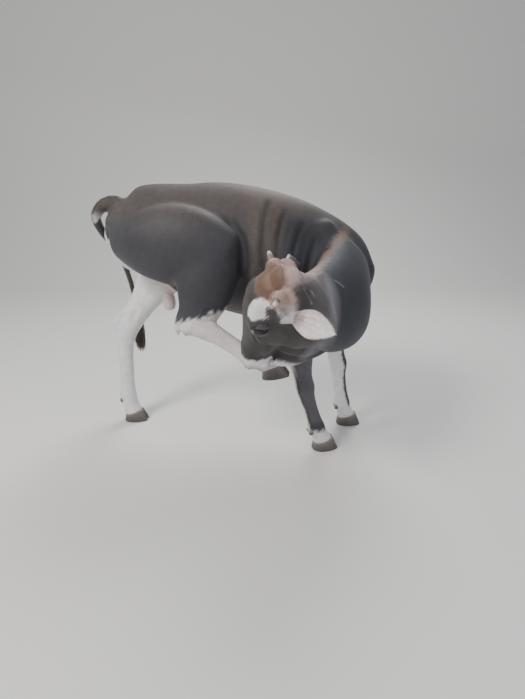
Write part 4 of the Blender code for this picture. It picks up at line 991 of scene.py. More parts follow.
def leg_colour(colour, points, offset, name, rough):
    """White inner hind legs, buttock band, scrotum, lifted cannon, backs of the front cannons and
    pasterns."""
    x, y, z = points.T
    gap = 0.02 + 0.105 * (1 - ease(z, 0.7, 0.96))
    middle = 0.062 + 0.05 * (1 - ease(z, 0.62, 0.9)) * (y > 0.05)
    inner = (1 - ease(np.abs(y - middle) + 0.01 * rough, 0.7 * gap, 1.15 * gap)) * (1 - ease(x, -0.46, -0.36))
    inner *= 1 - ease(z, 0.93, 0.99)
    colour = blend(colour, hue("white"), inner)
    hind = name == "hind_leg_left"
    heights = [0.03, 0.17, 0.37, 0.48, 0.6, 0.7, 0.86]
    axis = np.interp(z, heights, [0.145, 0.15, 0.16, 0.164, 0.166, 0.168, 0.16])
    side = y - axis
    white = hind * (1 - ease(side + 0.006 * rough, 0.0, 0.022 + 0.03 * (1 - ease(z, 0.15, 0.35))))
    white *= 1 - ease(z, 0.8, 0.88)
    colour = blend(colour, hue("white"), white)
    colour = blend(colour, hue("white"), hind * (1 - ease(z + 0.3 * side + 0.02 * rough, 0.44, 0.54)))
    purse = ((x + 0.4) ** 2 + (y - 0.05) ** 2 < 0.05**2) & (z < 0.69) & (z > 0.54)
    colour = blend(colour, hue("pink") * 0.6 + hue("white") * 0.4, purse)
    lifted = np.isin(name, ("hind_leg_right", "thigh_right"))
    line = 0.608 + 0.25 * (x + 0.25) + 0.012 * rough
    white = lifted * (1 - ease(z, line - 0.012, line + 0.016)) * (y < -0.1)
    colour = blend(colour, hue("white") * 0.75 + hue("pink") * 0.25, white)
    for key, turn in (("fore_leg_right", (-0.75, 0.66)), ("fore_leg_left", (-0.55, -0.83))):
        rows = np.array(AXES[key])
        axis_x = np.interp(z, rows[::-1, 2], rows[::-1, 0])
        axis_y = np.interp(z, rows[::-1, 2], rows[::-1, 1])
        side = (x - axis_x) * turn[0] + (y - axis_y) * turn[1]
        leg = (name == key) * (1 - ease(z, 0.42, 0.5))
        white = leg * ease(side + 0.004 * rough, 0.004, 0.018)
        colour = blend(colour, hue("white"), white)
        low = (name == key) * (1 - ease(z + 0.008 * rough, 0.086, 0.112))
        colour = blend(colour, hue("white"), 0.92 * low)
        front = ((name == key) * (1 - ease(side, -0.012, 0.004)) * ease(z, 0.12, 0.16)
                 * (1 - ease(z, 0.44, 0.6)))
        colour = blend(colour, (0.125, 0.113, 0.125), 0.65 * front)
    tail = name == "tail"
    colour = blend(colour, hue("brown") * 0.9, 0.7 * tail)
    under = offset @ unit(np.array((0.75, 0.2, -0.6)))
    colour = blend(colour, hue("white") * 0.9,
                   tail * ease(under + 0.002 * rough, 0.0, 0.01) * ease(z, 0.8, 0.86))
    return colour


def head_colour(colour, points, rough):
    """Dark face, tan poll, white star, pale eye rims, white ring round the dark muzzle and white chin."""
    a, l, n = to_head(points).T
    share = head_share(points)
    colour = blend(colour, hue("face"), share)
    colour = blend(colour, hue("face") * 0.75, share * ease(a, 0.15, 0.25) * ease(n, -0.09, -0.02) * 0.7)
    colour = blend(colour, hue("face") * 1.5, share * 0.5 * (1 - ease(a, 0.06, 0.12)) * ease(-n, 0.06, 0.12))
    colour = colour * (1 + 0.14 * share * wobble(points, 0.085, 4.0))[:, None]
    poll = np.sqrt(((a - 0.006) / 0.052) ** 2 + (l / 0.105) ** 2 + ((n - 0.015) / 0.075) ** 2) + 0.1 * rough
    colour = blend(colour, hue("tan"), share * (1 - ease(poll, 0.75, 1.15)))
    bud = np.sqrt((a + 0.002) ** 2 + (np.abs(l) - 0.09) ** 2 + ((n + 0.014) / 1.3) ** 2) + 0.007 * rough
    colour = blend(colour, hue("pink") * (0.8, 0.71, 0.67), share * 0.88 * (1 - ease(bud, 0.03, 0.054)))
    t = np.clip((a - 0.046) / 0.052, 0, 1)
    star = np.hypot(a - 0.046 - 0.052 * t, l - 0.064 - 0.004 * t) - 0.006 * t + 0.005 * rough
    colour = blend(colour, hue("white"), share * (1 - ease(star, 0.013, 0.022)) * ease(n, -0.022, 0.0))
    streak = np.abs(a - 0.026 - 0.16 * (n + 0.06) + 0.003 * rough) + 0.05 * np.clip(-0.085 - n, 0, 1)
    streak = (1 - ease(streak, 0.006, 0.022)) * (l > 0.06)
    streak *= ease(-n, 0.004, 0.024) * (1 - ease(-n, 0.07, 0.09))
    colour = blend(colour, hue("white") * 0.62, share * 0.75 * streak * (0.62 + 0.5 * rough))
    for side in (1, -1):
        middle, out, inner, up = eye_frame(side)
        local = points - middle
        p, q, o = local @ inner, local @ up, local @ out
        ring = np.sqrt((p / 0.031) ** 2 + ((q - 0.001) / 0.0215) ** 2) + 0.08 * rough
        colour = blend(colour, hue("dark") * 1.6, 0.55 * share * (o > 0) * (1 - ease(ring, 1.0, 1.5)))
        tear = np.sqrt(((p - 0.03) / 0.007) ** 2 + ((q + 0.02) / 0.017) ** 2) + 0.25 * rough
        colour = blend(colour, hue("white") * 0.55, 0.6 * share * (o > -0.02) * (1 - ease(tear, 0.6, 1.2)))
    root = np.sqrt(((a - 0.052) / 0.03) ** 2 + ((n + 0.06) / 0.03) ** 2) + 0.3 * rough
    colour = blend(colour, hue("white") * 0.85,
                   0.85 * share * (np.abs(l) > 0.06) * (1 - ease(root, 0.55, 1.2)))
    line = 0.324 + 0.42 * (np.maximum(n, -0.125) + 0.06) + 0.008 * rough
    colour = blend(colour, hue("white"), share * ease(a, line - 0.004, line + 0.012))
    colour = blend(colour, hue("white"), share * ease(a, 0.285, 0.31) * ease(-n, 0.112, 0.124))
    under = share * ease(-n, 0.18, 0.22) * (1 - ease(a, 0.27, 0.31))
    colour = blend(colour, hue("white") * (0.36, 0.36, 0.39), 0.65 * under)
    pad = np.sqrt((l / 0.052) ** 2 + ((n + 0.06) / 0.036) ** 2)
    wet = share * ease(a, 0.362, 0.372) * (1 - ease(pad + 0.06 * rough, 0.95, 1.12))
    colour = blend(colour, hue("muzzle"), wet)
    # Painted shade in the slit of the mouth, in the muzzle's colour.
    mouth = share * np.exp(-(((n - MOUTH_HEIGHT) / 0.003) ** 2)) * ease(a, 0.275, 0.29)
    return blend(colour, hue("muzzle"), 0.8 * mouth)


# Tufts


def hair_roots(points, fans, normals, count, weight, rng):
    """Random roots on the triangles, as many as count, closer together where weight is higher: their places
    and normals, with the corners of each one's triangle and the corners' shares in it."""
    one, two, three = (points[fans[:, k]] for k in range(3))
    area = 0.5 * np.linalg.norm(np.cross(two - one, three - one), axis=1)
    share = area * weight[fans].mean(axis=1)
    chance = np.cumsum(share) / share.sum()
    triangle = np.searchsorted(chance, rng.random(count))
    chosen = fans[np.clip(triangle, 0, len(fans) - 1)]
    r, s = np.sqrt(rng.random(count)), rng.random(count)
    corner = np.column_stack([1 - r, r * (1 - s), r * s])
    roots = (points[chosen] * corner[..., None]).sum(1)
    return roots, unit((normals[chosen] * corner[..., None]).sum(1)), chosen, corner


def strand_faces(count, sections):
    """Quads and triangles of many strands alike, each of three-sided sections in a row with a point at its
    end."""
    tip = 3 * sections
    base = (np.arange(count) * (tip + 1))[:, None]
    quads, fans = [], [base + np.array([[0, 2, 1]])]
    for k in range(sections - 1):
        for side in range(3):
            one, two = 3 * k + side, 3 * k + (side + 1) % 3
            quads.append(base + np.array([[one, two, two + 3, one + 3]]))
    last = tip - 3
    for side in range(3):
        fans.append(base + np.array([[last + side, last + (side + 1) % 3, tip]]))
    return np.stack(quads, axis=1).reshape(-1, 4), np.stack(fans, axis=1).reshape(-1, 3)


def give_patches(made, places, quads, fans, size):
    """The UV map for baking: each strand of size points is a small patch at its root's place on the
    unwrap."""
    aside = np.array([(-0.5, 0, 0.5)[k % 3] for k in range(size - 1)] + [0.0])
    spread = np.column_stack([aside, np.linspace(-0.5, 0.5, size)])
    patch = (places[:, None] + PATCH * spread[None]).reshape(-1, 2)
    corners = np.concatenate([quads.ravel(), fans.ravel()])
    layer = made.data.uv_layers.new(name="OFBake")
    layer.data.foreach_set("uv", patch[corners].astype(np.float32).ravel())


def tufts(name, roots, normals, way, length, width, lift, colours, rng, bends=2, curl=0.0):
    """Flat tapered tufts as one mesh. Middle line of each = root + way * length * s + normal * length * (lift
    * s - bow * s squared), with a three-sided section that narrows to a point, and a little sideways curl."""
    thick, sink = 0.17, 0.0006
    count = len(roots)
    across = np.cross(normals, way)
    rings = bends * 3
    points = np.empty((count, rings + 1, 3))
    length, width, lift = (np.broadcast_to(v, count).astype(float) for v in (length, width, lift))
    sway = rng.normal(0, 1, count) * curl
    bow = lift * 0.55
    for k, s in enumerate(np.linspace(0, 1, bends + 1)):
        middle = roots - normals * sink + way * (length * s)[:, None]
        middle = middle + normals * (length * (lift * s - bow * s * s))[:, None]
        middle = middle + across * (sway * length * s * s)[:, None]
        if k == bends:
            points[:, rings] = middle
            continue
        wide = width * (0.55 + 0.45 * math.sin(math.pi * min(s + 0.25, 0.5))) * (1 - s**1.6)
        half = 0.5 * np.maximum(wide, 0.0001)
        points[:, 3 * k] = middle + across * half[:, None]
        points[:, 3 * k + 1] = middle + normals * (half * 2 * thick)[:, None]
        points[:, 3 * k + 2] = middle - across * half[:, None]
    quads, fans = strand_faces(count, bends)
    made = surface(name, points.reshape(-1, 3), quads, fans)
    shade = np.ones((count, rings + 1, 1))
    shade[:, :3] = 0.94
    shade[:, rings] = 1.06
    give_colour(made, (colours[:, None, :] * shade).reshape(-1, 3))
    give_patches(made, unwrapped(roots), quads, fans, rings + 1)
    return made


SKIN = {}


def skin_data():
    """Points, triangles and normals of the finished skin, kept for the coat's pieces."""
    if not SKIN:
        mesh = bpy.data.objects["skin"].data
        points, fans = mesh_arrays(mesh)
        SKIN.update(points=points, fans=fans, normals=point_normals(mesh))
    return SKIN["points"], SKIN["fans"], SKIN["normals"]


def coat_piece(name, count, weight, shape, rng):
    """Tufts over the part of the skin that weight chooses. Shape gives their length, width and rise at the
    places."""
    jitter, tint, curl = 0.12, 0.06, 0.1
    points, fans, normals = skin_data()
    roots, up, _, _ = hair_roots(points, fans, normals, count, weight, rng)
    way, limb = hair_way(roots, up)
    turn = rng.normal(0, jitter, count)
    way = unit(way * np.cos(turn)[:, None] + np.cross(up, way) * np.sin(turn)[:, None])
    colours = coat_colour(roots, up) * (1 + rng.normal(0, tint, count))[:, None]
    colours = np.clip(colours, 0.004, 0.95)
    long, wide, rise = shape(roots, limb)
    long = long * rng.uniform(0.75, 1.2, count)
    wide = wide * rng.uniform(0.8, 1.2, count)
    rise = rise * rng.uniform(0.6, 1.4, count)
    made = tufts(name, roots, up, way, long, wide, rise, colours, rng, curl=curl)
    finish_piece(made, coat_material())
    return made


# Materials


def new_material(name, settings):
    """A node material with one Principled shader, and these values on the shader's sockets."""
    material = bpy.data.materials.new(name)
    material.use_nodes = True
    nodes, links = material.node_tree.nodes, material.node_tree.links
    nodes.clear()
    output = nodes.new("ShaderNodeOutputMaterial")
    shader = nodes.new("ShaderNodeBsdfPrincipled")
    links.new(shader.outputs["BSDF"], output.inputs["Surface"])
    for socket, value in settings.items():
        shader.inputs[socket].default_value = value
    return material, nodes, links, shader


def attribute(nodes, name):
    """A node that reads a stored value of the surface."""
    node = nodes.new("ShaderNodeAttribute")
    node.attribute_name = name
    return node


def noise(nodes, links, vector, scale, detail):
    """Fine noise over the given places."""
    node = nodes.new("ShaderNodeTexNoise")
    node.inputs["Scale"].default_value = scale
    node.inputs["Detail"].default_value = detail
    links.new(vector, node.inputs["Vector"])
    return node.outputs["Fac"]


def bump_from(nodes, links, shader, height, distance, strength):
    """Relief of the shader from a height."""
    bump = nodes.new("ShaderNodeBump")
    bump.inputs["Distance"].default_value = distance
    bump.inputs["Strength"].default_value = strength
    links.new(height, bump.inputs["Height"])
    links.new(bump.outputs["Normal"], shader.inputs["Normal"])


def shaded_coat(nodes, links, shader, vector, scale, low, high):
    """Base colour = the stored colour times a noise between low and high."""
    grain = noise(nodes, links, vector, scale, 4.0)
    spread = nodes.new("ShaderNodeMapRange")
    for socket, value in (("From Min", 0.3), ("From Max", 0.7), ("To Min", low), ("To Max", high)):
        spread.inputs[socket].default_value = value
    links.new(grain, spread.inputs["Value"])
    product = nodes.new("ShaderNodeVectorMath")
    product.operation = "SCALE"
    links.new(attribute(nodes, "coat").outputs["Color"], product.inputs[0])
    links.new(spread.outputs["Result"], product.inputs["Scale"])
    links.new(product.outputs["Vector"], shader.inputs["Base Color"])
    return grain


def object_places(nodes):
    """Places on the object, which stay with it."""
    return nodes.new("ShaderNodeTexCoord").outputs["Object"]


def skin_material():
    """Short hair on skin: the markings, streaked along the lie of the hair, with fine hair relief."""
    material, nodes, links, shader = new_material("short hair", {
        "Roughness": 0.62, "Specular IOR Level": 0.28, "Sheen Weight": 0.1, "Sheen Roughness": 0.4})
    hair = attribute(nodes, "hair").outputs["Vector"]
    shaded_coat(nodes, links, shader, hair, 420.0, 0.86, 1.14)
    bump_from(nodes, links, shader, noise(nodes, links, hair, 620.0, 3.0), 0.0012, 0.55)
    return material


def coat_material():
    """Hair of the tufts: each tuft's own colour, dull with a faint sheen. All the tufts share it."""
    material = bpy.data.materials.get("coat tufts")
    if material is None:
        material, nodes, links, shader = new_material("coat tufts", {
            "Roughness": 0.62, "Specular IOR Level": 0.28, "Sheen Weight": 0.14, "Sheen Roughness": 0.4})
        shaded_coat(nodes, links, shader, object_places(nodes), 420.0, 0.88, 1.12)
    return material


def ear_material():
    """The skin and down of the ears, with a soft glow of light through the blade."""
    material, nodes, links, shader = new_material("ear", {
        "Roughness": 0.55, "Subsurface Weight": 0.2, "Subsurface Radius": (0.012, 0.005, 0.003),
        "Subsurface Scale": 0.6})
    grain = shaded_coat(nodes, links, shader, object_places(nodes), 180.0, 0.86, 1.12)
    bump_from(nodes, links, shader, grain, 0.001, 0.4)
    return material


def horn_material(name, gloss):
    """Horn of claws and buds: the shape's own tones with rings of growth across and fine streaks."""
    material, nodes, links, shader = new_material(name, {"Roughness": gloss})
    grain = attribute(nodes, "grain").outputs["Vector"]
    streaks = shaded_coat(nodes, links, shader, grain, 1.0, 0.94, 1.06)
    rings = nodes.new("ShaderNodeTexWave")
    rings.bands_direction = "Z"
    for socket, value in (("Scale", 0.06), ("Distortion", 2.5), ("Detail", 2.0)):
        rings.inputs[socket].default_value = value
    links.new(grain, rings.inputs["Vector"])
    total = nodes.new("ShaderNodeMath")
    total.operation = "ADD"
    links.new(streaks, total.inputs[0])
    links.new(rings.outputs["Fac"], total.inputs[1])
    bump_from(nodes, links, shader, total.outputs["Value"], 0.0008, 0.25)
    return material


def lid_material():
    """The moist rim and the bare skin of the lids."""
    material, nodes, links, shader = new_material("eyelid", {"Roughness": 0.55, "Specular IOR Level": 0.25})
    grain = shaded_coat(nodes, links, shader, object_places(nodes), 700.0, 0.85, 1.15)
    bump_from(nodes, links, shader, grain, 0.0005, 0.5)
    return material


def eye_material():
    """A wet dark eye: long pupil, brown iris, dark rim and dull white, from the place on the ball."""
    material, nodes, links, shader = new_material("eye", {
        "Roughness": 0.12, "Specular IOR Level": 0.12, "Coat Weight": 0.25, "Coat IOR": 1.33,
        "Coat Roughness": 0.02})
    gaze = attribute(nodes, "gaze").outputs["Vector"]
    reach = nodes.new("ShaderNodeVectorMath")
    reach.operation = "LENGTH"
    links.new(gaze, reach.inputs[0])
    stretch = nodes.new("ShaderNodeMapping")
    stretch.inputs["Scale"].default_value = (0.62, 1.45, 1.0)
    links.new(gaze, stretch.inputs["Vector"])
    oval = nodes.new("ShaderNodeVectorMath")
    oval.operation = "LENGTH"
    links.new(stretch.outputs["Vector"], oval.inputs[0])
    iris = nodes.new("ShaderNodeValToRGB")
    steps = iris.color_ramp.elements
    steps[0].position, steps[0].color = 0.0, (0.014, 0.008, 0.006, 1)
    steps[1].position, steps[1].color = 0.97, (0.06, 0.046, 0.04, 1)
    for at, tone in ((0.45, (0.034, 0.018, 0.011)), (0.68, (0.02, 0.011, 0.008)),
                     (0.78, (0.006, 0.005, 0.005))):
        steps.new(at).color = (*tone, 1)
    links.new(reach.outputs["Value"], iris.inputs["Fac"])
    pupil = nodes.new("ShaderNodeMapRange")
    pupil.inputs["From Min"].default_value = 0.21
    pupil.inputs["From Max"].default_value = 0.26
    links.new(oval.outputs["Value"], pupil.inputs["Value"])
    mix = nodes.new("ShaderNodeMix")
    mix.data_type = "RGBA"
    mix.inputs["A"].default_value = (0.002, 0.003, 0.005, 1)
    links.new(pupil.outputs["Result"], mix.inputs["Factor"])
    links.new(iris.outputs["Color"], mix.inputs["B"])
    links.new(mix.outputs["Result"], shader.inputs["Base Color"])
    return material


def floor_material():
    """A plain pale studio floor."""
    return new_material("pale floor", {"Base Color": (0.72, 0.71, 0.69, 1), "Roughness": 0.85})[0]


# Eyes, ears, horn buds and feet


def finish_piece(obj, material):
    """Gives the piece its material, body and slot."""
    obj.data.materials.append(material)
    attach(obj, "root")


def eye_ball(name, side):
    """A ball with a low bulge of the cornea: distance from its middle = radius + bulge * exp(-(distance from
    the gaze) to the fourth). Each point keeps its place across the gaze, in shares of the radius."""
    middle, out, _, up = eye_frame(side)
    bpy.ops.mesh.primitive_uv_sphere_add(segments=72, ring_count=48, radius=1.0)
    obj = bpy.context.object
    obj.name = name
    mesh = obj.data
    mesh.name = name
    points = np.empty(len(mesh.vertices) * 3, np.float32)
    mesh.vertices.foreach_get("co", points)
    points = points.reshape(-1, 3).astype(float)
    across = np.hypot(points[:, 0], points[:, 1])
    bulge = 0.0011 * np.exp(-((across / 0.62) ** 4)) * (points[:, 2] > 0)
    reach = EYE_RADIUS - 0.0003 + bulge
    right = np.cross(up, out)
    placed = middle + (points[:, :1] * right + points[:, 1:2] * up + points[:, 2:] * out) * reach[:, None]
    set_points(mesh, placed)
    mesh.polygons.foreach_set("use_smooth", np.ones(len(mesh.polygons), bool))
    flat = points * (1, 1, 0)
    flat[points[:, 2] < 0] = unit(flat[points[:, 2] < 0])
    give_vector(obj, flat, "gaze")
    return obj


def lid_ring(name, side, tree):
    """The lids as one soft ring over the ball. Its inner edge follows the opening and stands on the ball, its
    outer edge runs under the skin, and between them the height is the smooth maximum of ball and skin, less
    the creases."""
    middle, out, inner, up = eye_frame(side)
    count = 144
    t = np.linspace(0, 2 * math.pi, count, endpoint=False)[:, None]
    high = np.where(np.sin(t) > 0, OPENING_UP, OPENING_DOWN)
    slit_p = OPENING_LONG * np.cos(t)
    slit_q = np.sign(np.sin(t)) * np.abs(np.sin(t)) ** 1.3 * high - 0.003 * np.clip(np.cos(t), 0, 1) ** 2
    edge_p, edge_q = 0.044 * np.cos(t), 0.034 * np.sin(t) + 0.001
    e = np.concatenate([[0.0, 0.0, 0.02], np.linspace(0.06, 0.58, 14), [0.66, 0.78, 0.9, 1.0]])[None, :]
    p = slit_p + e * (edge_p - slit_p)
    q = slit_q + e * (edge_q - slit_q)
    skin_high = np.empty((count, 1))
    for k in range(count):
        start = middle + edge_p[k, 0] * inner + edge_q[k, 0] * up + 0.09 * out
        hit = tree.ray_cast(Vector(start), Vector(-out), 0.16)[0]
        skin_high[k, 0] = 0.005 if hit is None else (np.array(hit) - middle) @ out
    skin_high = (skin_high + np.roll(skin_high, 1, 0) + np.roll(skin_high, -1, 0)) / 3
    reach = np.hypot(p, q)
    lid_radius = EYE_RADIUS + 0.0022
    over = np.clip(reach - lid_radius, 0, 0.02)
    ball_high = np.sqrt(np.clip(lid_radius**2 - reach**2, 0, None)) - 3.0 * over
    keen = 420.0
    flat = skin_high - 0.003 * (1 - e) ** 2
    height = np.log(np.exp(keen * ball_high) + np.exp(keen * flat)) / keen
    upper = np.clip(np.sin(t), -0.4, 1)
    crease = 0.0
    for deep, at in ((0.0004, 0.17), (0.0009, 0.3), (0.0008, 0.45), (0.0007, 0.62)):
        crease = crease + deep * np.exp(-(((e - at - 0.012 * np.sin(3 * t + 9 * at)) / 0.034) ** 2))
    height = height - crease * (0.55 + 0.45 * upper)
    height = height * (1 - ease(e, 0.86, 1.0)) + (skin_high - 0.0012) * ease(e, 0.86, 1.0)
    sit = np.sqrt(np.clip((EYE_RADIUS + 0.0002) ** 2 - p[:, :1] ** 2 - q[:, :1] ** 2, 0, None))
    sit = np.maximum(sit - 0.0008, skin_high - 0.0075)
    height[:, :1] = sit
    height[:, 1:2] = np.maximum(height[:, 2:3] - 0.0011, sit + 0.0003)
    under_p = np.concatenate([p[:, -1:], 0.5 * (p[:, -1:] + p[:, :1]), p[:, :1]], axis=1)
    under_q = np.concatenate([q[:, -1:], 0.5 * (q[:, -1:] + q[:, :1]), q[:, :1]], axis=1)
    rim = height[:, -1:]
    under = np.concatenate([rim - 0.003, 0.5 * (rim + sit) - 0.005, sit - 0.003], axis=1)
    p, q, height = np.hstack([p, under_p]), np.hstack([q, under_q]), np.hstack([height, under])
    grid = middle + p[..., None] * inner + q[..., None] * up + height[..., None] * out
    rows, sides = grid.shape[:2]
    ring = np.arange(rows * sides).reshape(rows, sides)
    after, below = np.roll(ring, -1, axis=1), np.roll(ring, -1, axis=0)
    quads = np.stack([ring, after, np.roll(below, -1, axis=1), below], axis=-1).reshape(-1, 4)
    if side > 0:
        quads = quads[:, ::-1]
    points = grid.reshape(-1, 3)
    made = surface(name, points, quads, np.zeros((0, 3), int))
    colour = coat_colour(points, point_normals(made.data))
    level = np.broadcast_to(np.concatenate([e, np.ones((1, 3))], axis=1), (rows, sides)).ravel()
    turn = np.broadcast_to(t, (rows, sides)).ravel()
    along = level - 0.012 * np.sin(3 * turn + 9 * level)
    pale, folds = 0.0, 0.0
    # Pale bands: the lid's own pale rim at the edge, and painted highlights on the ridges between the
    # creases.
    for share, at, wide in ((0.75, 0.1, 0.04), (0.34, 0.235, 0.035), (0.2, 0.375, 0.035)):
        pale = pale + share * np.exp(-(((along - at) / wide) ** 2))
    # Painted shade along the lid's creases.
    for at in (0.17, 0.3, 0.45):
        folds = folds + np.exp(-(((along - at) / 0.03) ** 2))
    colour = blend(colour, hue("dark") * 1.8, np.clip(0.55 * folds, 0, 1))
    colour = blend(colour, (0.36, 0.29, 0.28), np.clip(pale * (0.75 + 0.25 * np.cos(2 * turn)), 0, 1))
    colour = blend(colour, (0.016, 0.012, 0.012), (1 - ease(level, 0.03, 0.07)) * 0.95)
    give_colour(made, colour)
    return made


def ear_surface(name, side):
    """A leaf-shaped cup, rounded at its root and thin at its rim, with low ridges along the inside. Point =
    root + along * length * u + across * width(u) * cos(turn) + face * (bend + thickness)."""
    base, along, across, face = ear_way(side)
    tip = 0.9 + 0.085 * np.sin(np.linspace(0, math.pi / 2, 8))[1:]
    u = np.concatenate([np.linspace(-0.12, 0.0, 6)[:-1], np.linspace(0.0, 0.9, 44), tip])[:, None]
    count = 64
    turn = (np.arange(count) + 0.5)[None, :] * 2 * math.pi / count
    inside = np.clip(u, 0, 1)
    wide = 0.0205 + 0.0235 * np.sin(np.clip(inside / 0.46, 0, 1) * math.pi / 2)
    wide = wide * np.clip(1 - (np.clip(inside - 0.4, 0, 1) / 0.6) ** 1.6, 0.004, 1) ** 0.8 - 0.0006
    hollow = np.clip((u - 0.03) / 0.16, 0, 1)
    cup = 0.017 * hollow * (1 - 0.6 * inside)
    v = np.cos(turn)
    back = np.sin(turn) < 0
    body = 0.016 * (1 - hollow) + 0.0026
    lift = np.where(back, -1.0, 1.0) * body * np.abs(np.sin(turn)) ** 0.7
    bend = cup * np.abs(v) ** 2.4 * 1.25 - cup * 0.9
    ridge = 0.0
    for high, at, thin in ((0.0042, 0.34, 0.08), (0.0038, -0.08, 0.075), (0.0034, -0.5, 0.08)):
        ridge = ridge + high * np.exp(-(((v - at) / thin) ** 2))
    ridge = np.where(back, -0.0006, ridge) * hollow * (1 - ease(u, 0.35, 0.8))
    wave = 0.0012 * np.sin(9 * u + 2.0 * v) * hollow * np.abs(v)
    tall = bend + lift + ridge + wave - 0.02 * inside**2
    rings = base + along * (EAR_LENGTH * u[..., None])
    rings = rings + across * (wide * v)[..., None] + face * tall[..., None]
    tips = np.array([rings[0].mean(axis=0), rings[-1].mean(axis=0) + along * 0.0006])
    points, quads, fans = closed_grid(rings[:, ::-1], tips)
    made = surface(name, points, quads, fans)
    rows = np.concatenate([np.repeat(u[:, 0], count), [-0.12, 1.0]])
    outside = np.concatenate([np.tile(back[:, ::-1], len(u)).ravel(), [True, False]])
    reach = np.concatenate([np.tile(v[:, ::-1], (len(u), 1)).ravel(), [0, 0]])
    rough = wobble(points, 0.02) * 0.6 + wobble(points, 0.007, 2.0) * 0.4
    pale = blend(even((0.66, 0.555, 0.53), points), hue("white") * 1.08, 0.5 + 0.4 * rough)
    bare = 0.45 * (1 - ease(rows, 0.1, 0.6)) * (1 - ease(np.abs(reach), 0.3, 0.8))
    pale = blend(pale, (0.5, 0.34, 0.3), bare)
    # Painted shade in the canal at the root of the ear's cup.
    pale = blend(pale, (0.3, 0.2, 0.18), 0.55 * (1 - ease(rows + 0.25 * np.abs(reach), 0.06, 0.24)))
    coat = blend(even(hue("face") * 1.2, points), hue("white"), ease(np.abs(reach) + 0.1 * rough, 0.84, 1.0))
    coat = blend(coat, hue("face"), 1 - ease(rows, 0.0, 0.12))
    colour = np.where(outside[:, None], coat, pale)
    colour = blend(colour, coat_colour(points, point_normals(made.data)), 1 - ease(rows, -0.02, 0.1))
    give_colour(made, np.clip(colour, 0.01, 0.9))
    return made, dict(along=along, across=across, u=rows, v=reach, back=outside)


def ear_hair(name, ear, shape, rng):
    """Fine hair over both faces of an ear, longer along its rim and at its root."""
    points, fans = mesh_arrays(shape.data)
    colour = np.empty(len(points) * 4, np.float32)
    shape.data.color_attributes["coat"].data.foreach_get("color", colour)
    colour = colour.reshape(-1, 4)[:, :3]
    edge = np.clip(np.abs(ear["v"]), 0, 1) ** 6
    weight = np.where(ear["back"], 0.5, 0.12) + 2.4 * edge + 0.9 * (1 - ease(ear["u"], 0.05, 0.25))
    roots, up, chosen, corner = hair_roots(points, fans, point_normals(shape.data), 4600,
                                           weight * (ear["u"] > -0.02), rng)
    tone = (colour[chosen] * corner[..., None]).sum(1)
    rim, root, v = ((values[chosen] * corner).sum(1) for values in (edge, ear["u"], ear["v"]))
    way = along_surface(ear["along"] + ear["across"] * (0.55 * v)[:, None], up)
    way = unit(way + rng.normal(0, 0.16, way.shape))
    long = (0.005 + 0.002 * rim + 0.006 * (1 - ease(root, 0.0, 0.25))) * rng.uniform(0.7, 1.3, len(roots))
    tone = np.clip(tone * rng.uniform(0.85, 1.15, (len(roots), 1)), 0, 0.9)
    made = tufts(name, roots, up, way, long, 0.0009, 0.05 + 0.03 * rim, tone, rng, curl=0.12)
    finish_piece(made, coat_material())
    return made


def horn_bud(name, side):
    """A short blunt horn bud with a skin-grey base and a pale worn tip: a tube of falling radius, whose
    distance from its middle line is uneven by a few hundredths and ringed across."""
    rows = []
    for reach, size in ((-0.012, 0.0123), (0.0, 0.0118), (0.01, 0.0106), (0.02, 0.0083), (0.028, 0.0056)):
        at = from_head((0.006 - 0.3 * reach, (BUD_OUT + reach) * side, 0.35 * reach))
        rows.append((*at, size, size, size))
    points, quads, fans = tube(rows, up=tuple(HEAD_TURN @ np.array((1, 0, 0.2))), rings=26, sides=32,
                               dome=0.8)
    head = to_head(points)
    reach = np.abs(head[:, 1]) - BUD_OUT
    middle = from_head(np.column_stack([0.006 - 0.3 * reach, (BUD_OUT + reach) * side, 0.35 * reach]))
    pale = ease(reach + 0.002 * wobble(points, 0.006), 0.012, 0.022)
    swell = 1 + 0.035 * wobble(points, 0.009) + 0.03 * np.sin(reach * 1500)
    points = middle + (points - middle) * swell[:, None]
    made = surface(name, points, quads, fans)
    give_colour(made, blend(even((0.2, 0.16, 0.135), points), (0.62, 0.56, 0.5), pale))
    give_vector(made, np.column_stack([head[:, 0], head[:, 2], reach]) * 900, "grain")
    return made


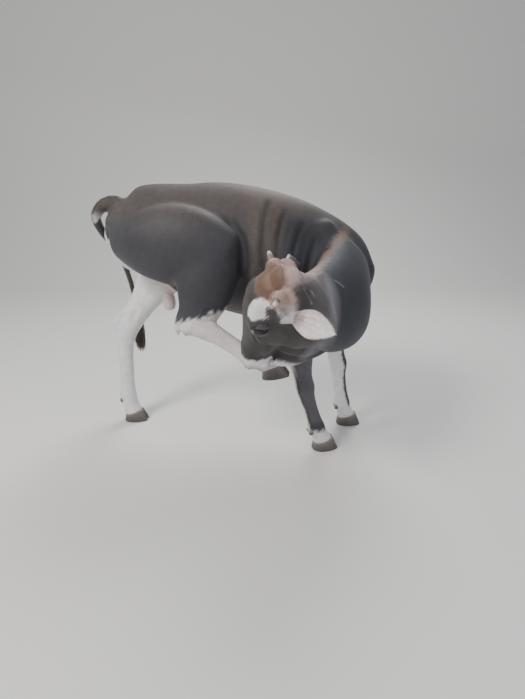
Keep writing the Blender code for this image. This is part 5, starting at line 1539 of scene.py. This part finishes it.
def claw_surface(name, foot, side):
    """One claw: a flat sole, a wall that leans out, a pointed toe, rounded edges and a top along the coronet.
    Point = middle + toe * s + left * d + down * drop, where s and d run round the outline of a half disc,
    longer in front, that narrows from the sole up, and drop falls from the sole to the coronet."""
    at, toe, left, down = foot_axes(foot)
    turn = np.radians(np.linspace(-90, 90, 61))
    inner = np.linspace(0.9, -0.9, 17)
    f = np.concatenate([np.sin(turn), inner])[None, :]
    w = np.concatenate([np.cos(turn) ** 0.75, np.zeros(len(inner))])[None, :]
    height = [0.0, 0.004, 0.02, 0.06, 0.12, 0.22, 0.34, 0.46, 0.58, 0.7, 0.8, 0.9, 0.96, 0.99, 1.0]
    height = np.array(height)[:, None]
    swell = np.interp(height, [0.0, 0.12, 0.45, 0.8, 1.0], [0.97, 1.0, 0.975, 0.95, 0.93])
    round_edge = 1 - 0.045 * np.exp(-height / 0.008) - 0.06 * np.exp(-(1 - height) / 0.012)
    ring = 1 + 0.006 * np.sin(height * 34 + 1.2 * f) * ease(height, 0.05, 0.2)
    front = (0.066 - 0.022 * height) * swell * round_edge * ring
    heel = (0.045 - 0.003 * height) * swell * round_edge
    outer = (0.0425 - 0.002 * height) * swell * round_edge * ring
    s = f * np.where(f > 0, front, heel)
    tuck = 0.01 * np.clip(f, 0, 1) ** 4 * (1 - 0.6 * height) * np.where(w > 0, 1.0, 0.6)
    d = 0.0016 + tuck + w * (outer - 0.0016) * (1 - 0.35 * np.clip(f, 0, 1) ** 3)
    top = CLAW_HEIGHT + CORONET_LEAN * s - 0.0003
    drop = CLAW_HEIGHT - height * top
    rings = at + toe * s[..., None] + left * (d * side)[..., None] + down * drop[..., None]
    if side > 0:
        rings = rings[:, ::-1]
        s, d = s[:, ::-1], d[:, ::-1]
    tips = np.array([rings[0].mean(axis=0), rings[-1].mean(axis=0)])
    points, quads, fans = closed_grid(rings, tips)
    made = surface(name, points, quads, fans)
    level = np.concatenate([np.repeat(height[:, 0], rings.shape[1]), [0, 1]])
    reach = np.concatenate([s.ravel(), [0, 0]])
    wide = np.concatenate([d.ravel(), [0, 0]])
    light = 0.65 * ease(0.6 * level + 0.05 * wobble(points, 0.05), 0.1, 0.75)
    colour = blend(even((0.08, 0.072, 0.068), points), (0.22, 0.195, 0.165), light)
    colour = blend(colour, (0.36, 0.31, 0.26), 0.5 * ease(level, 0.86, 0.98))
    give_colour(made, colour)
    give_vector(made, np.column_stack([reach * 420, wide * 420, level * 42]), "grain")
    return made


def dewclaw_surface(name, fetlock, side):
    """A small horny knob behind the fetlock: an ellipsoid, longest down and back, lighter at its top."""
    at, back, down = (np.array(v, float) for v in fetlock)
    back = unit(back)
    down = unit(down - down.dot(back) * back)
    aside = np.cross(back, down)
    middle = at + back * 0.031 + aside * (0.0165 * side) + down * 0.006
    points, quads, fans = ball(middle, (0.0147, 0.0097, 0.0107), down * 0.8 + back * 0.6, back, sides=28)
    local = points - middle
    made = surface(name, points, quads, fans)
    light = ease(-(local @ down) / 0.012, -0.4, 0.8)
    give_colour(made, blend(even((0.1, 0.085, 0.072), points), (0.24, 0.2, 0.16), light))
    give_vector(made, local * 700, "grain")
    return made


def outward(obj):
    """Turns all faces out where the closed surface is inside out."""
    shape = bmesh.new()
    shape.from_mesh(obj.data)
    if shape.calc_volume(signed=True) < 0:
        bmesh.ops.reverse_faces(shape, faces=shape.faces)
        shape.to_mesh(obj.data)
    shape.free()
    obj.data.update()


def poll_tuft(rng):
    """The tan tuft of the poll: longer wavy locks that part on the crown and fall over the forehead and the
    buds."""
    points, fans, normals = skin_data()
    a, l, n = to_head(points).T
    reach = np.sqrt((a / 0.05) ** 2 + (l / 0.085) ** 2 + ((n - 0.02) / 0.06) ** 2)
    weight = (1 - ease(reach, 0.75, 1.05)) * (head_share(points) > 0.1)
    count = 8600
    roots, up, _, _ = hair_roots(points, fans, normals, count, weight, rng)
    a, l, _ = to_head(roots).T
    lean = np.column_stack([np.full(count, 0.9), 3.0 * l, np.full(count, -0.1)])
    way = unit(along_surface(lean @ HEAD_TURN.T + rng.normal(0, 0.13, (count, 3)), up))
    middle = 1 - ease(np.sqrt((a / 0.05) ** 2 + (l / 0.075) ** 2), 0.3, 1.0)
    clump = 0.4 * wobble(roots, 0.02, 9.0)
    way = unit(way + np.cross(up, way) * clump[:, None])
    long = (0.013 + 0.016 * middle) * rng.uniform(0.75, 1.2, count)
    tone = coat_colour(roots, up) * rng.uniform(0.8, 1.18, (count, 1)) * (1 + 0.25 * clump)[:, None]
    made = tufts("poll_tuft", roots, up, way, long, 0.0011, 0.08 + 0.2 * middle, np.clip(tone, 0, 0.9), rng,
                 bends=3, curl=0.22)
    finish_piece(made, coat_material())
    return made


def switch_hair(rng):
    """The tail's brush: long hair in strands. Distance of each from the tail's middle = its own swell * sine
    of the share of its length, drawn in again below, with a slight wave."""
    count = 1500
    turn = rng.random(count) * 2 * math.pi
    start = TAIL_TIP[2] - 0.1 * rng.random(count)
    long = 0.165 * rng.uniform(0.72, 1.06, count) * (1 - 0.25 * (TAIL_TIP[2] - start) / 0.1)
    belly = 0.022 * np.sqrt(rng.random(count)) + 0.003
    end = 0.012 * rng.random(count)
    steps = np.linspace(0, 1, 9)
    rows = []
    for s in steps:
        swell = belly * np.sin(math.pi * min(s * 0.62 + 0.08, 1)) * (s > 0)
        out = 0.007 * (1 - s) ** 2 + swell + (end - 0.4 * belly) * s**3
        wave = 0.0022 * np.sin(9 * s + 7 * turn) * s
        x = TAIL_TIP[0] + np.cos(turn) * out + 0.012 * s + wave
        y = TAIL_TIP[1] + np.sin(turn) * out - wave
        rows.append(np.column_stack([x, y, start - long * s]))
    path = np.stack(rows, axis=1)
    along = unit(np.gradient(path, axis=1))
    outside = np.stack([np.cos(turn), np.sin(turn), 0 * turn], axis=1)[:, None]
    across = unit(np.cross(outside, along))
    face = np.cross(along, across)
    taper = (0.0011 * (1 - steps**2.2) + 0.0001)[None, :, None]
    sections = len(steps) - 1
    size = sections * 3 + 1
    points = np.empty((count, size, 3))
    for k, edge in enumerate((across * taper, face * taper * 0.5, -across * taper)):
        points[:, k:-1:3] = (path + edge)[:, :-1]
    points[:, -1] = path[:, -1]
    quads, fans = strand_faces(count, sections)
    made = surface("tail_brush", points.reshape(-1, 3), quads, fans)
    tone = np.array((0.075, 0.058, 0.05)) * rng.uniform(0.6, 1.5, (count, 1))
    shade = np.interp(np.arange(size) / size, [0, 0.6, 1], [0.8, 1.0, 1.5])[None, :, None]
    give_colour(made, np.clip(tone[:, None] * shade, 0, 0.9).reshape(-1, 3))
    places = np.column_stack([0.8 + 0.12 * turn / (2 * math.pi), 0.55 + 3.0 * (TAIL_TIP[2] - start)])
    give_patches(made, places, quads, fans, size)
    finish_piece(made, coat_material())
    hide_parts("tail_switch")
    return made


def lashes(rng):
    """Short brown lashes along both lids, longest on the upper one."""
    roots, ups, ways, longs = [], [], [], []
    for side in (1, -1):
        middle, out, inner, up = eye_frame(side)
        for lid, count, high, long in ((1, 90, 0.0148, 0.013), (-1, 46, 0.0114, 0.007)):
            t = np.linspace(0.12, 0.88, count) * math.pi
            t = t + rng.normal(0, 0.02, count)
            p = OPENING_LONG * np.cos(t)
            q = lid * (np.sin(t) ** 1.3 * high)
            o = np.maximum(np.sqrt(np.clip((EYE_RADIUS + 0.0026) ** 2 - p**2 - q**2, 0, None)), 0.01)
            roots.append(middle + p[:, None] * inner + q[:, None] * up + o[:, None] * out)
            way = np.outer(np.ones(count), 0.62 * out) + lid * 0.75 * up + (p * 16)[:, None] * inner
            way = unit(way + rng.normal(0, 0.1, (count, 3)))
            ways.append(way)
            ups.append(unit(np.cross(np.cross(way, out), way)))
            longs.append(np.full(count, long) * rng.uniform(0.7, 1.15, count))
    roots, ups, ways, longs = np.vstack(roots), np.vstack(ups), np.vstack(ways), np.concatenate(longs)
    tone = np.array((0.12, 0.1, 0.09)) * rng.uniform(0.8, 1.2, (len(roots), 1))
    made = tufts("lashes", roots, ups, ways, longs, 0.0007, 0.1, tone, rng, bends=3, curl=0.05)
    finish_piece(made, coat_material())
    return made


def whiskers(rng):
    """A few fine stiff hairs of muzzle and chin."""
    count = 130
    points, fans, normals = skin_data()
    a, _, n = to_head(points).T
    weight = (head_share(points) > 0.3) * ease(a, 0.315, 0.335)
    weight = weight * (np.abs(n + 0.062) > 0.03) * (a < 0.4)
    roots, up, _, _ = hair_roots(points, fans, normals, count, weight, rng)
    way = unit(HEAD_TURN[:, 0] * 0.4 - HEAD_TURN[:, 2] * 0.25 + rng.normal(0, 0.25, (count, 3)))
    way = unit(along_surface(way, up))
    made = tufts("whiskers", roots, up, way, 0.014 * rng.uniform(0.6, 1.5, count), 0.0005, 0.9,
                 even((0.34, 0.31, 0.29), roots), rng, bends=4, curl=0.1)
    finish_piece(made, coat_material())
    return made


# Length, width and rise of the coat's tufts


TRUNK = ("torso", "neck", "thigh_right")


def body_hair(places, limb):
    """Length, width and rise of the tufts on trunk, legs and tail."""
    long = bpy.context.scene.calf_sizes.hair_length
    trunk, tail = np.isin(limb, TRUNK), limb == "tail"
    return (np.where(trunk, long, long * 2 / 3) + long * tail, np.where(trunk, 0.0014, 0.0011),
            np.where(trunk, 0.07, 0.08) + 0.16 * tail)


def head_hair(places, limb):
    """Length, width and rise of the tufts on the head, shorter and finer towards the muzzle."""
    a = to_head(places)[:, 0]
    return (0.0075 - 0.0035 * ease(a, 0.2, 0.34), 0.0011 - 0.0003 * ease(a, 0.22, 0.34),
            np.full(len(places), 0.09))


# Operators


def colour_of(name, description, default):
    """A colour for the panel."""
    return bpy.props.FloatVectorProperty(name=name, description=description, default=default, size=3, min=0.0,
                                         max=1.0, subtype="COLOR")


class CalfColours(bpy.types.PropertyGroup):
    """The colours of the coat and its markings."""

    slate: colour_of("Slate", "Ground colour of body and neck", (0.05, 0.05, 0.057))
    dark: colour_of("Dark", "Shadowed side of shoulder and neck, and round the eyes", (0.019, 0.02, 0.025))
    brown: colour_of("Brown", "Back, flank, belly and tail", (0.098, 0.074, 0.061))
    tan: colour_of("Tan", "Tuft of the poll", (0.34, 0.21, 0.142))
    white: colour_of("White", "Legs, star, muzzle ring and ears", (0.72, 0.705, 0.705))
    pink: colour_of("Pink", "Crest, skin round the horn buds, and scrotum", (0.56, 0.42, 0.385))
    face: colour_of("Face", "Ground colour of the face", (0.062, 0.055, 0.056))
    muzzle: colour_of("Muzzle", "Bare pad of the nose and line of the mouth", (0.04, 0.038, 0.042))


class CalfSizes(bpy.types.PropertyGroup):
    """Grain of the skin and amount of hair."""

    skin_grain: bpy.props.FloatProperty(
        name="Skin grain", description="Grain at which the forms melt into one skin", default=0.005,
        min=0.003,
        unit="LENGTH")
    hair_length: bpy.props.FloatProperty(
        name="Hair length", description="Length of the tufts on the trunk", default=0.012, min=0.004,
        unit="LENGTH")
    body_tufts: bpy.props.IntProperty(
        name="Body tufts", description="Tufts in each of the coat's pieces on trunk, neck and legs",
        default=18800, min=100)
    body_pieces: bpy.props.IntProperty(
        name="Body pieces", description="Pieces the coat of the body is parted into", default=5, min=1)
    head_tufts: bpy.props.IntProperty(
        name="Head tufts", description="Tufts on face, cheeks and ears' roots", default=19000, min=100)


def hair_amount(value):
    return value


class CALF_OT_skin(bpy.types.Operator):
    """Build the skin with its folds and markings"""

    bl_idname = "calf.skin"
    bl_label = "Skin"

    def execute(self, context):
        skin = skin_object()
        points = mesh_arrays(skin.data)[0]
        give_colour(skin, coat_colour(points, point_normals(skin.data)))
        _, along, offset, way = lie_of_hair(points)
        head = head_share(points)[:, None]
        flat = offset + way * (0.16 * along)[:, None]
        local = to_head(points) * (0.16, 1, 1)
        give_vector(skin, flat * (1 - head) + local * head, "hair")
        finish_piece(skin, skin_material())
        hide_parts("torso", "neck", "head", "scrotum", "tail", "fore_leg_right_forearm",
                    "fore_leg_right_cannon", "fore_leg_left_forearm", "fore_leg_left_cannon",
                    "hind_leg_left_gaskin", "hind_leg_left_cannon", "hind_leg_right_shank",
                    "hind_leg_right_cannon")
        return {"FINISHED"}


class CALF_OT_eyes(bpy.types.Operator):
    """Build the eyes, their lids and lashes"""

    bl_idname = "calf.eyes"
    bl_label = "Eyes"

    def execute(self, context):
        points, fans, _ = skin_data()
        tree = BVHTree.FromPolygons(points.tolist(), fans.tolist())
        ball_look, lid_look = eye_material(), lid_material()
        for name, side in (("left", 1), ("right", -1)):
            eye = eye_ball("eye_ball_" + name, side)
            finish_piece(eye, ball_look)
            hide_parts("eye_" + name)
            lids = lid_ring("lids_" + name, side, tree)
            outward(lids)
            finish_piece(lids, lid_look)
        lashes(np.random.default_rng(5))
        return {"FINISHED"}


class CALF_OT_ears(bpy.types.Operator):
    """Build both ears with their hair"""

    bl_idname = "calf.ears"
    bl_label = "Ears"

    def execute(self, context):
        look = ear_material()
        for name, side in (("left", 1), ("right", -1)):
            shape, ear = ear_surface("ear_blade_" + name, side)
            outward(shape)
            finish_piece(shape, look)
            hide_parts("ear_" + name)
            ear_hair("ear_hair_" + name, ear, shape, np.random.default_rng(20 + side))
        return {"FINISHED"}


class CALF_OT_horn(bpy.types.Operator):
    """Build horn buds, claws and dewclaws"""

    bl_idname = "calf.horn"
    bl_label = "Horn and claws"

    def execute(self, context):
        claw_look, bud_look = horn_material("claw horn", 0.42), horn_material("bud horn", 0.5)
        for name, side in (("left", 1), ("right", -1)):
            bud = horn_bud("bud_" + name, side)
            outward(bud)
            finish_piece(bud, bud_look)
            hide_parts("horn_bud_" + name)
            for leg in FEET:
                claw = claw_surface(leg + "_horn_claw_" + name, FEET[leg], side)
                outward(claw)
                finish_piece(claw, claw_look)
                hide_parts(leg + "_claw_" + name)
                knob = dewclaw_surface(leg + "_horn_dewclaw_" + name, FETLOCKS[leg], side)
                outward(knob)
                finish_piece(knob, claw_look)
                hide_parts(leg + "_dewclaw_" + name)
        return {"FINISHED"}


class CALF_OT_coat(bpy.types.Operator):
    """Build the tufts of the coat, the poll's tuft, the tail's brush and the whiskers"""

    bl_idname = "calf.coat"
    bl_label = "Coat"

    def execute(self, context):
        sizes = context.scene.calf_sizes
        points = skin_data()[0]
        head = head_share(points)
        legs = 1 - ease(points[:, 2], 0.45, 0.62)
        bare = np.zeros(len(points))
        for foot in FEET.values():
            at, _, _, down = foot_axes(foot)
            local = points - at
            bare = np.maximum(bare, ((local @ down) > -0.004) * (np.linalg.norm(local, axis=1) < 0.1))
        body = (1 + 1.6 * legs) * (1 - head) * (1 - bare) + 0.001
        for index in range(sizes.body_pieces):
            coat_piece("coat_%d" % (index + 1), hair_amount(sizes.body_tufts), body, body_hair,
                       np.random.default_rng(100 + index))
        a, _, n = to_head(points).T
        face = head * (a < 0.372) * (1 + 1.2 * ease(a, 0.25, 0.33))
        for side in (1, -1):
            middle = eye_frame(side)[0]
            face = face * ease(np.linalg.norm(points - middle, axis=1), 0.025, 0.031)
        mouth = np.abs(n - MOUTH_HEIGHT) + 0.02 * (1 - ease(a, 0.27, 0.29))
        face = face * ease(mouth, 0.002, 0.005)
        coat_piece("coat_head", hair_amount(sizes.head_tufts), face + 1e-6, head_hair,
                   np.random.default_rng(200))
        poll_tuft(np.random.default_rng(7))
        switch_hair(np.random.default_rng(11))
        whiskers(np.random.default_rng(13))
        return {"FINISHED"}


class CALF_OT_stage(bpy.types.Operator):
    """Set up the pale floor, the soft light and the camera of the picture"""

    bl_idname = "calf.stage"
    bl_label = "Stage"

    def execute(self, context):
        bend = 1.6
        turn = np.radians(np.linspace(0, 90, 12))[1:]
        profile = [(-5.0, 0.0), (3.0, 0.0)]
        profile += [(3.0 + bend * math.sin(t), bend - bend * math.cos(t)) for t in turn]
        profile += [(3.0 + bend, 6.0)]
        grid = np.array([[(x, y, z) for x in (-7.0, 7.0)] for y, z in profile])
        index = np.arange(len(profile) * 2).reshape(-1, 2)
        quads = np.stack([index[:-1, 0], index[:-1, 1], index[1:, 1], index[1:, 0]], axis=-1)
        floor = surface("floor", grid.reshape(-1, 3) - OFFSET * (1, 1, 0), quads, np.zeros((0, 3), int))
        floor.data.materials.append(floor_material())
        for name, at, size, power, tone in (
            ("key_light", (-2.4, -2.2, 3.6), 1.6, 190.0, (1.0, 0.98, 0.95)),
            ("fill_light", (3.2, -2.6, 1.6), 2.6, 40.0, (0.93, 0.96, 1.0)),
            ("back_light", (0.6, 2.4, 3.4), 1.8, 95.0, (1.0, 1.0, 1.0)),
        ):
            lamp = bpy.data.lights.new(name, "AREA")
            lamp.shape = "DISK"
            lamp.size = size
            lamp.energy = power
            lamp.color = tone
            obj = bpy.data.objects.new(name, lamp)
            obj.location = at
            way = Vector((0.1, 0.1, 0.6)) - obj.location
            obj.rotation_euler = way.to_track_quat("-Z", "Y").to_euler()
            context.scene.collection.objects.link(obj)
        world = bpy.data.worlds.new("soft daylight")
        world.use_nodes = True
        sky = world.node_tree.nodes["Background"]
        sky.inputs["Color"].default_value = (0.9, 0.93, 1.0, 1)
        sky.inputs["Strength"].default_value = 0.34
        context.scene.world = world
        camera = bpy.data.cameras.new("camera")
        camera.sensor_width = 36.0
        camera.sensor_fit = "HORIZONTAL"
        camera.lens = CAMERA_LENS
        camera.dof.use_dof = False
        obj = bpy.data.objects.new("camera", camera)
        obj.location = Vector(CAMERA_PLACE) + Vector(OFFSET)
        obj.rotation_euler = (math.radians(90 - CAMERA_TILT), 0.0, 0.0)
        context.scene.collection.objects.link(obj)
        context.scene.camera = obj
        return {"FINISHED"}


class CALF_PT_panel(bpy.types.Panel):
    """The calf's pieces in the sidebar"""

    bl_label = "Calf"
    bl_idname = "CALF_PT_panel"
    bl_space_type = "VIEW_3D"
    bl_region_type = "UI"
    bl_category = "Calf"

    def draw(self, context):
        for group in (context.scene.calf_sizes, context.scene.calf_colours):
            for name in group.__annotations__:
                self.layout.prop(group, name)
        for operator in OPERATORS:
            self.layout.operator(operator.bl_idname)


OPERATORS = (CALF_OT_skin, CALF_OT_eyes, CALF_OT_ears, CALF_OT_horn, CALF_OT_coat, CALF_OT_stage)
CLASSES = (CalfSizes, CalfColours, *OPERATORS, CALF_PT_panel)


def register():
    for kind in CLASSES:
        bpy.utils.register_class(kind)
    bpy.types.Scene.calf_sizes = bpy.props.PointerProperty(type=CalfSizes)
    bpy.types.Scene.calf_colours = bpy.props.PointerProperty(type=CalfColours)


def unregister():
    del bpy.types.Scene.calf_colours
    del bpy.types.Scene.calf_sizes
    for kind in reversed(CLASSES):
        bpy.utils.unregister_class(kind)


def main():
    """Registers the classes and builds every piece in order."""
    register()
    bpy.ops.calf.skin()
    bpy.ops.calf.eyes()
    bpy.ops.calf.ears()
    bpy.ops.calf.horn()
    bpy.ops.calf.coat()
    bpy.ops.calf.stage()


if __name__ == "__main__":
    main()
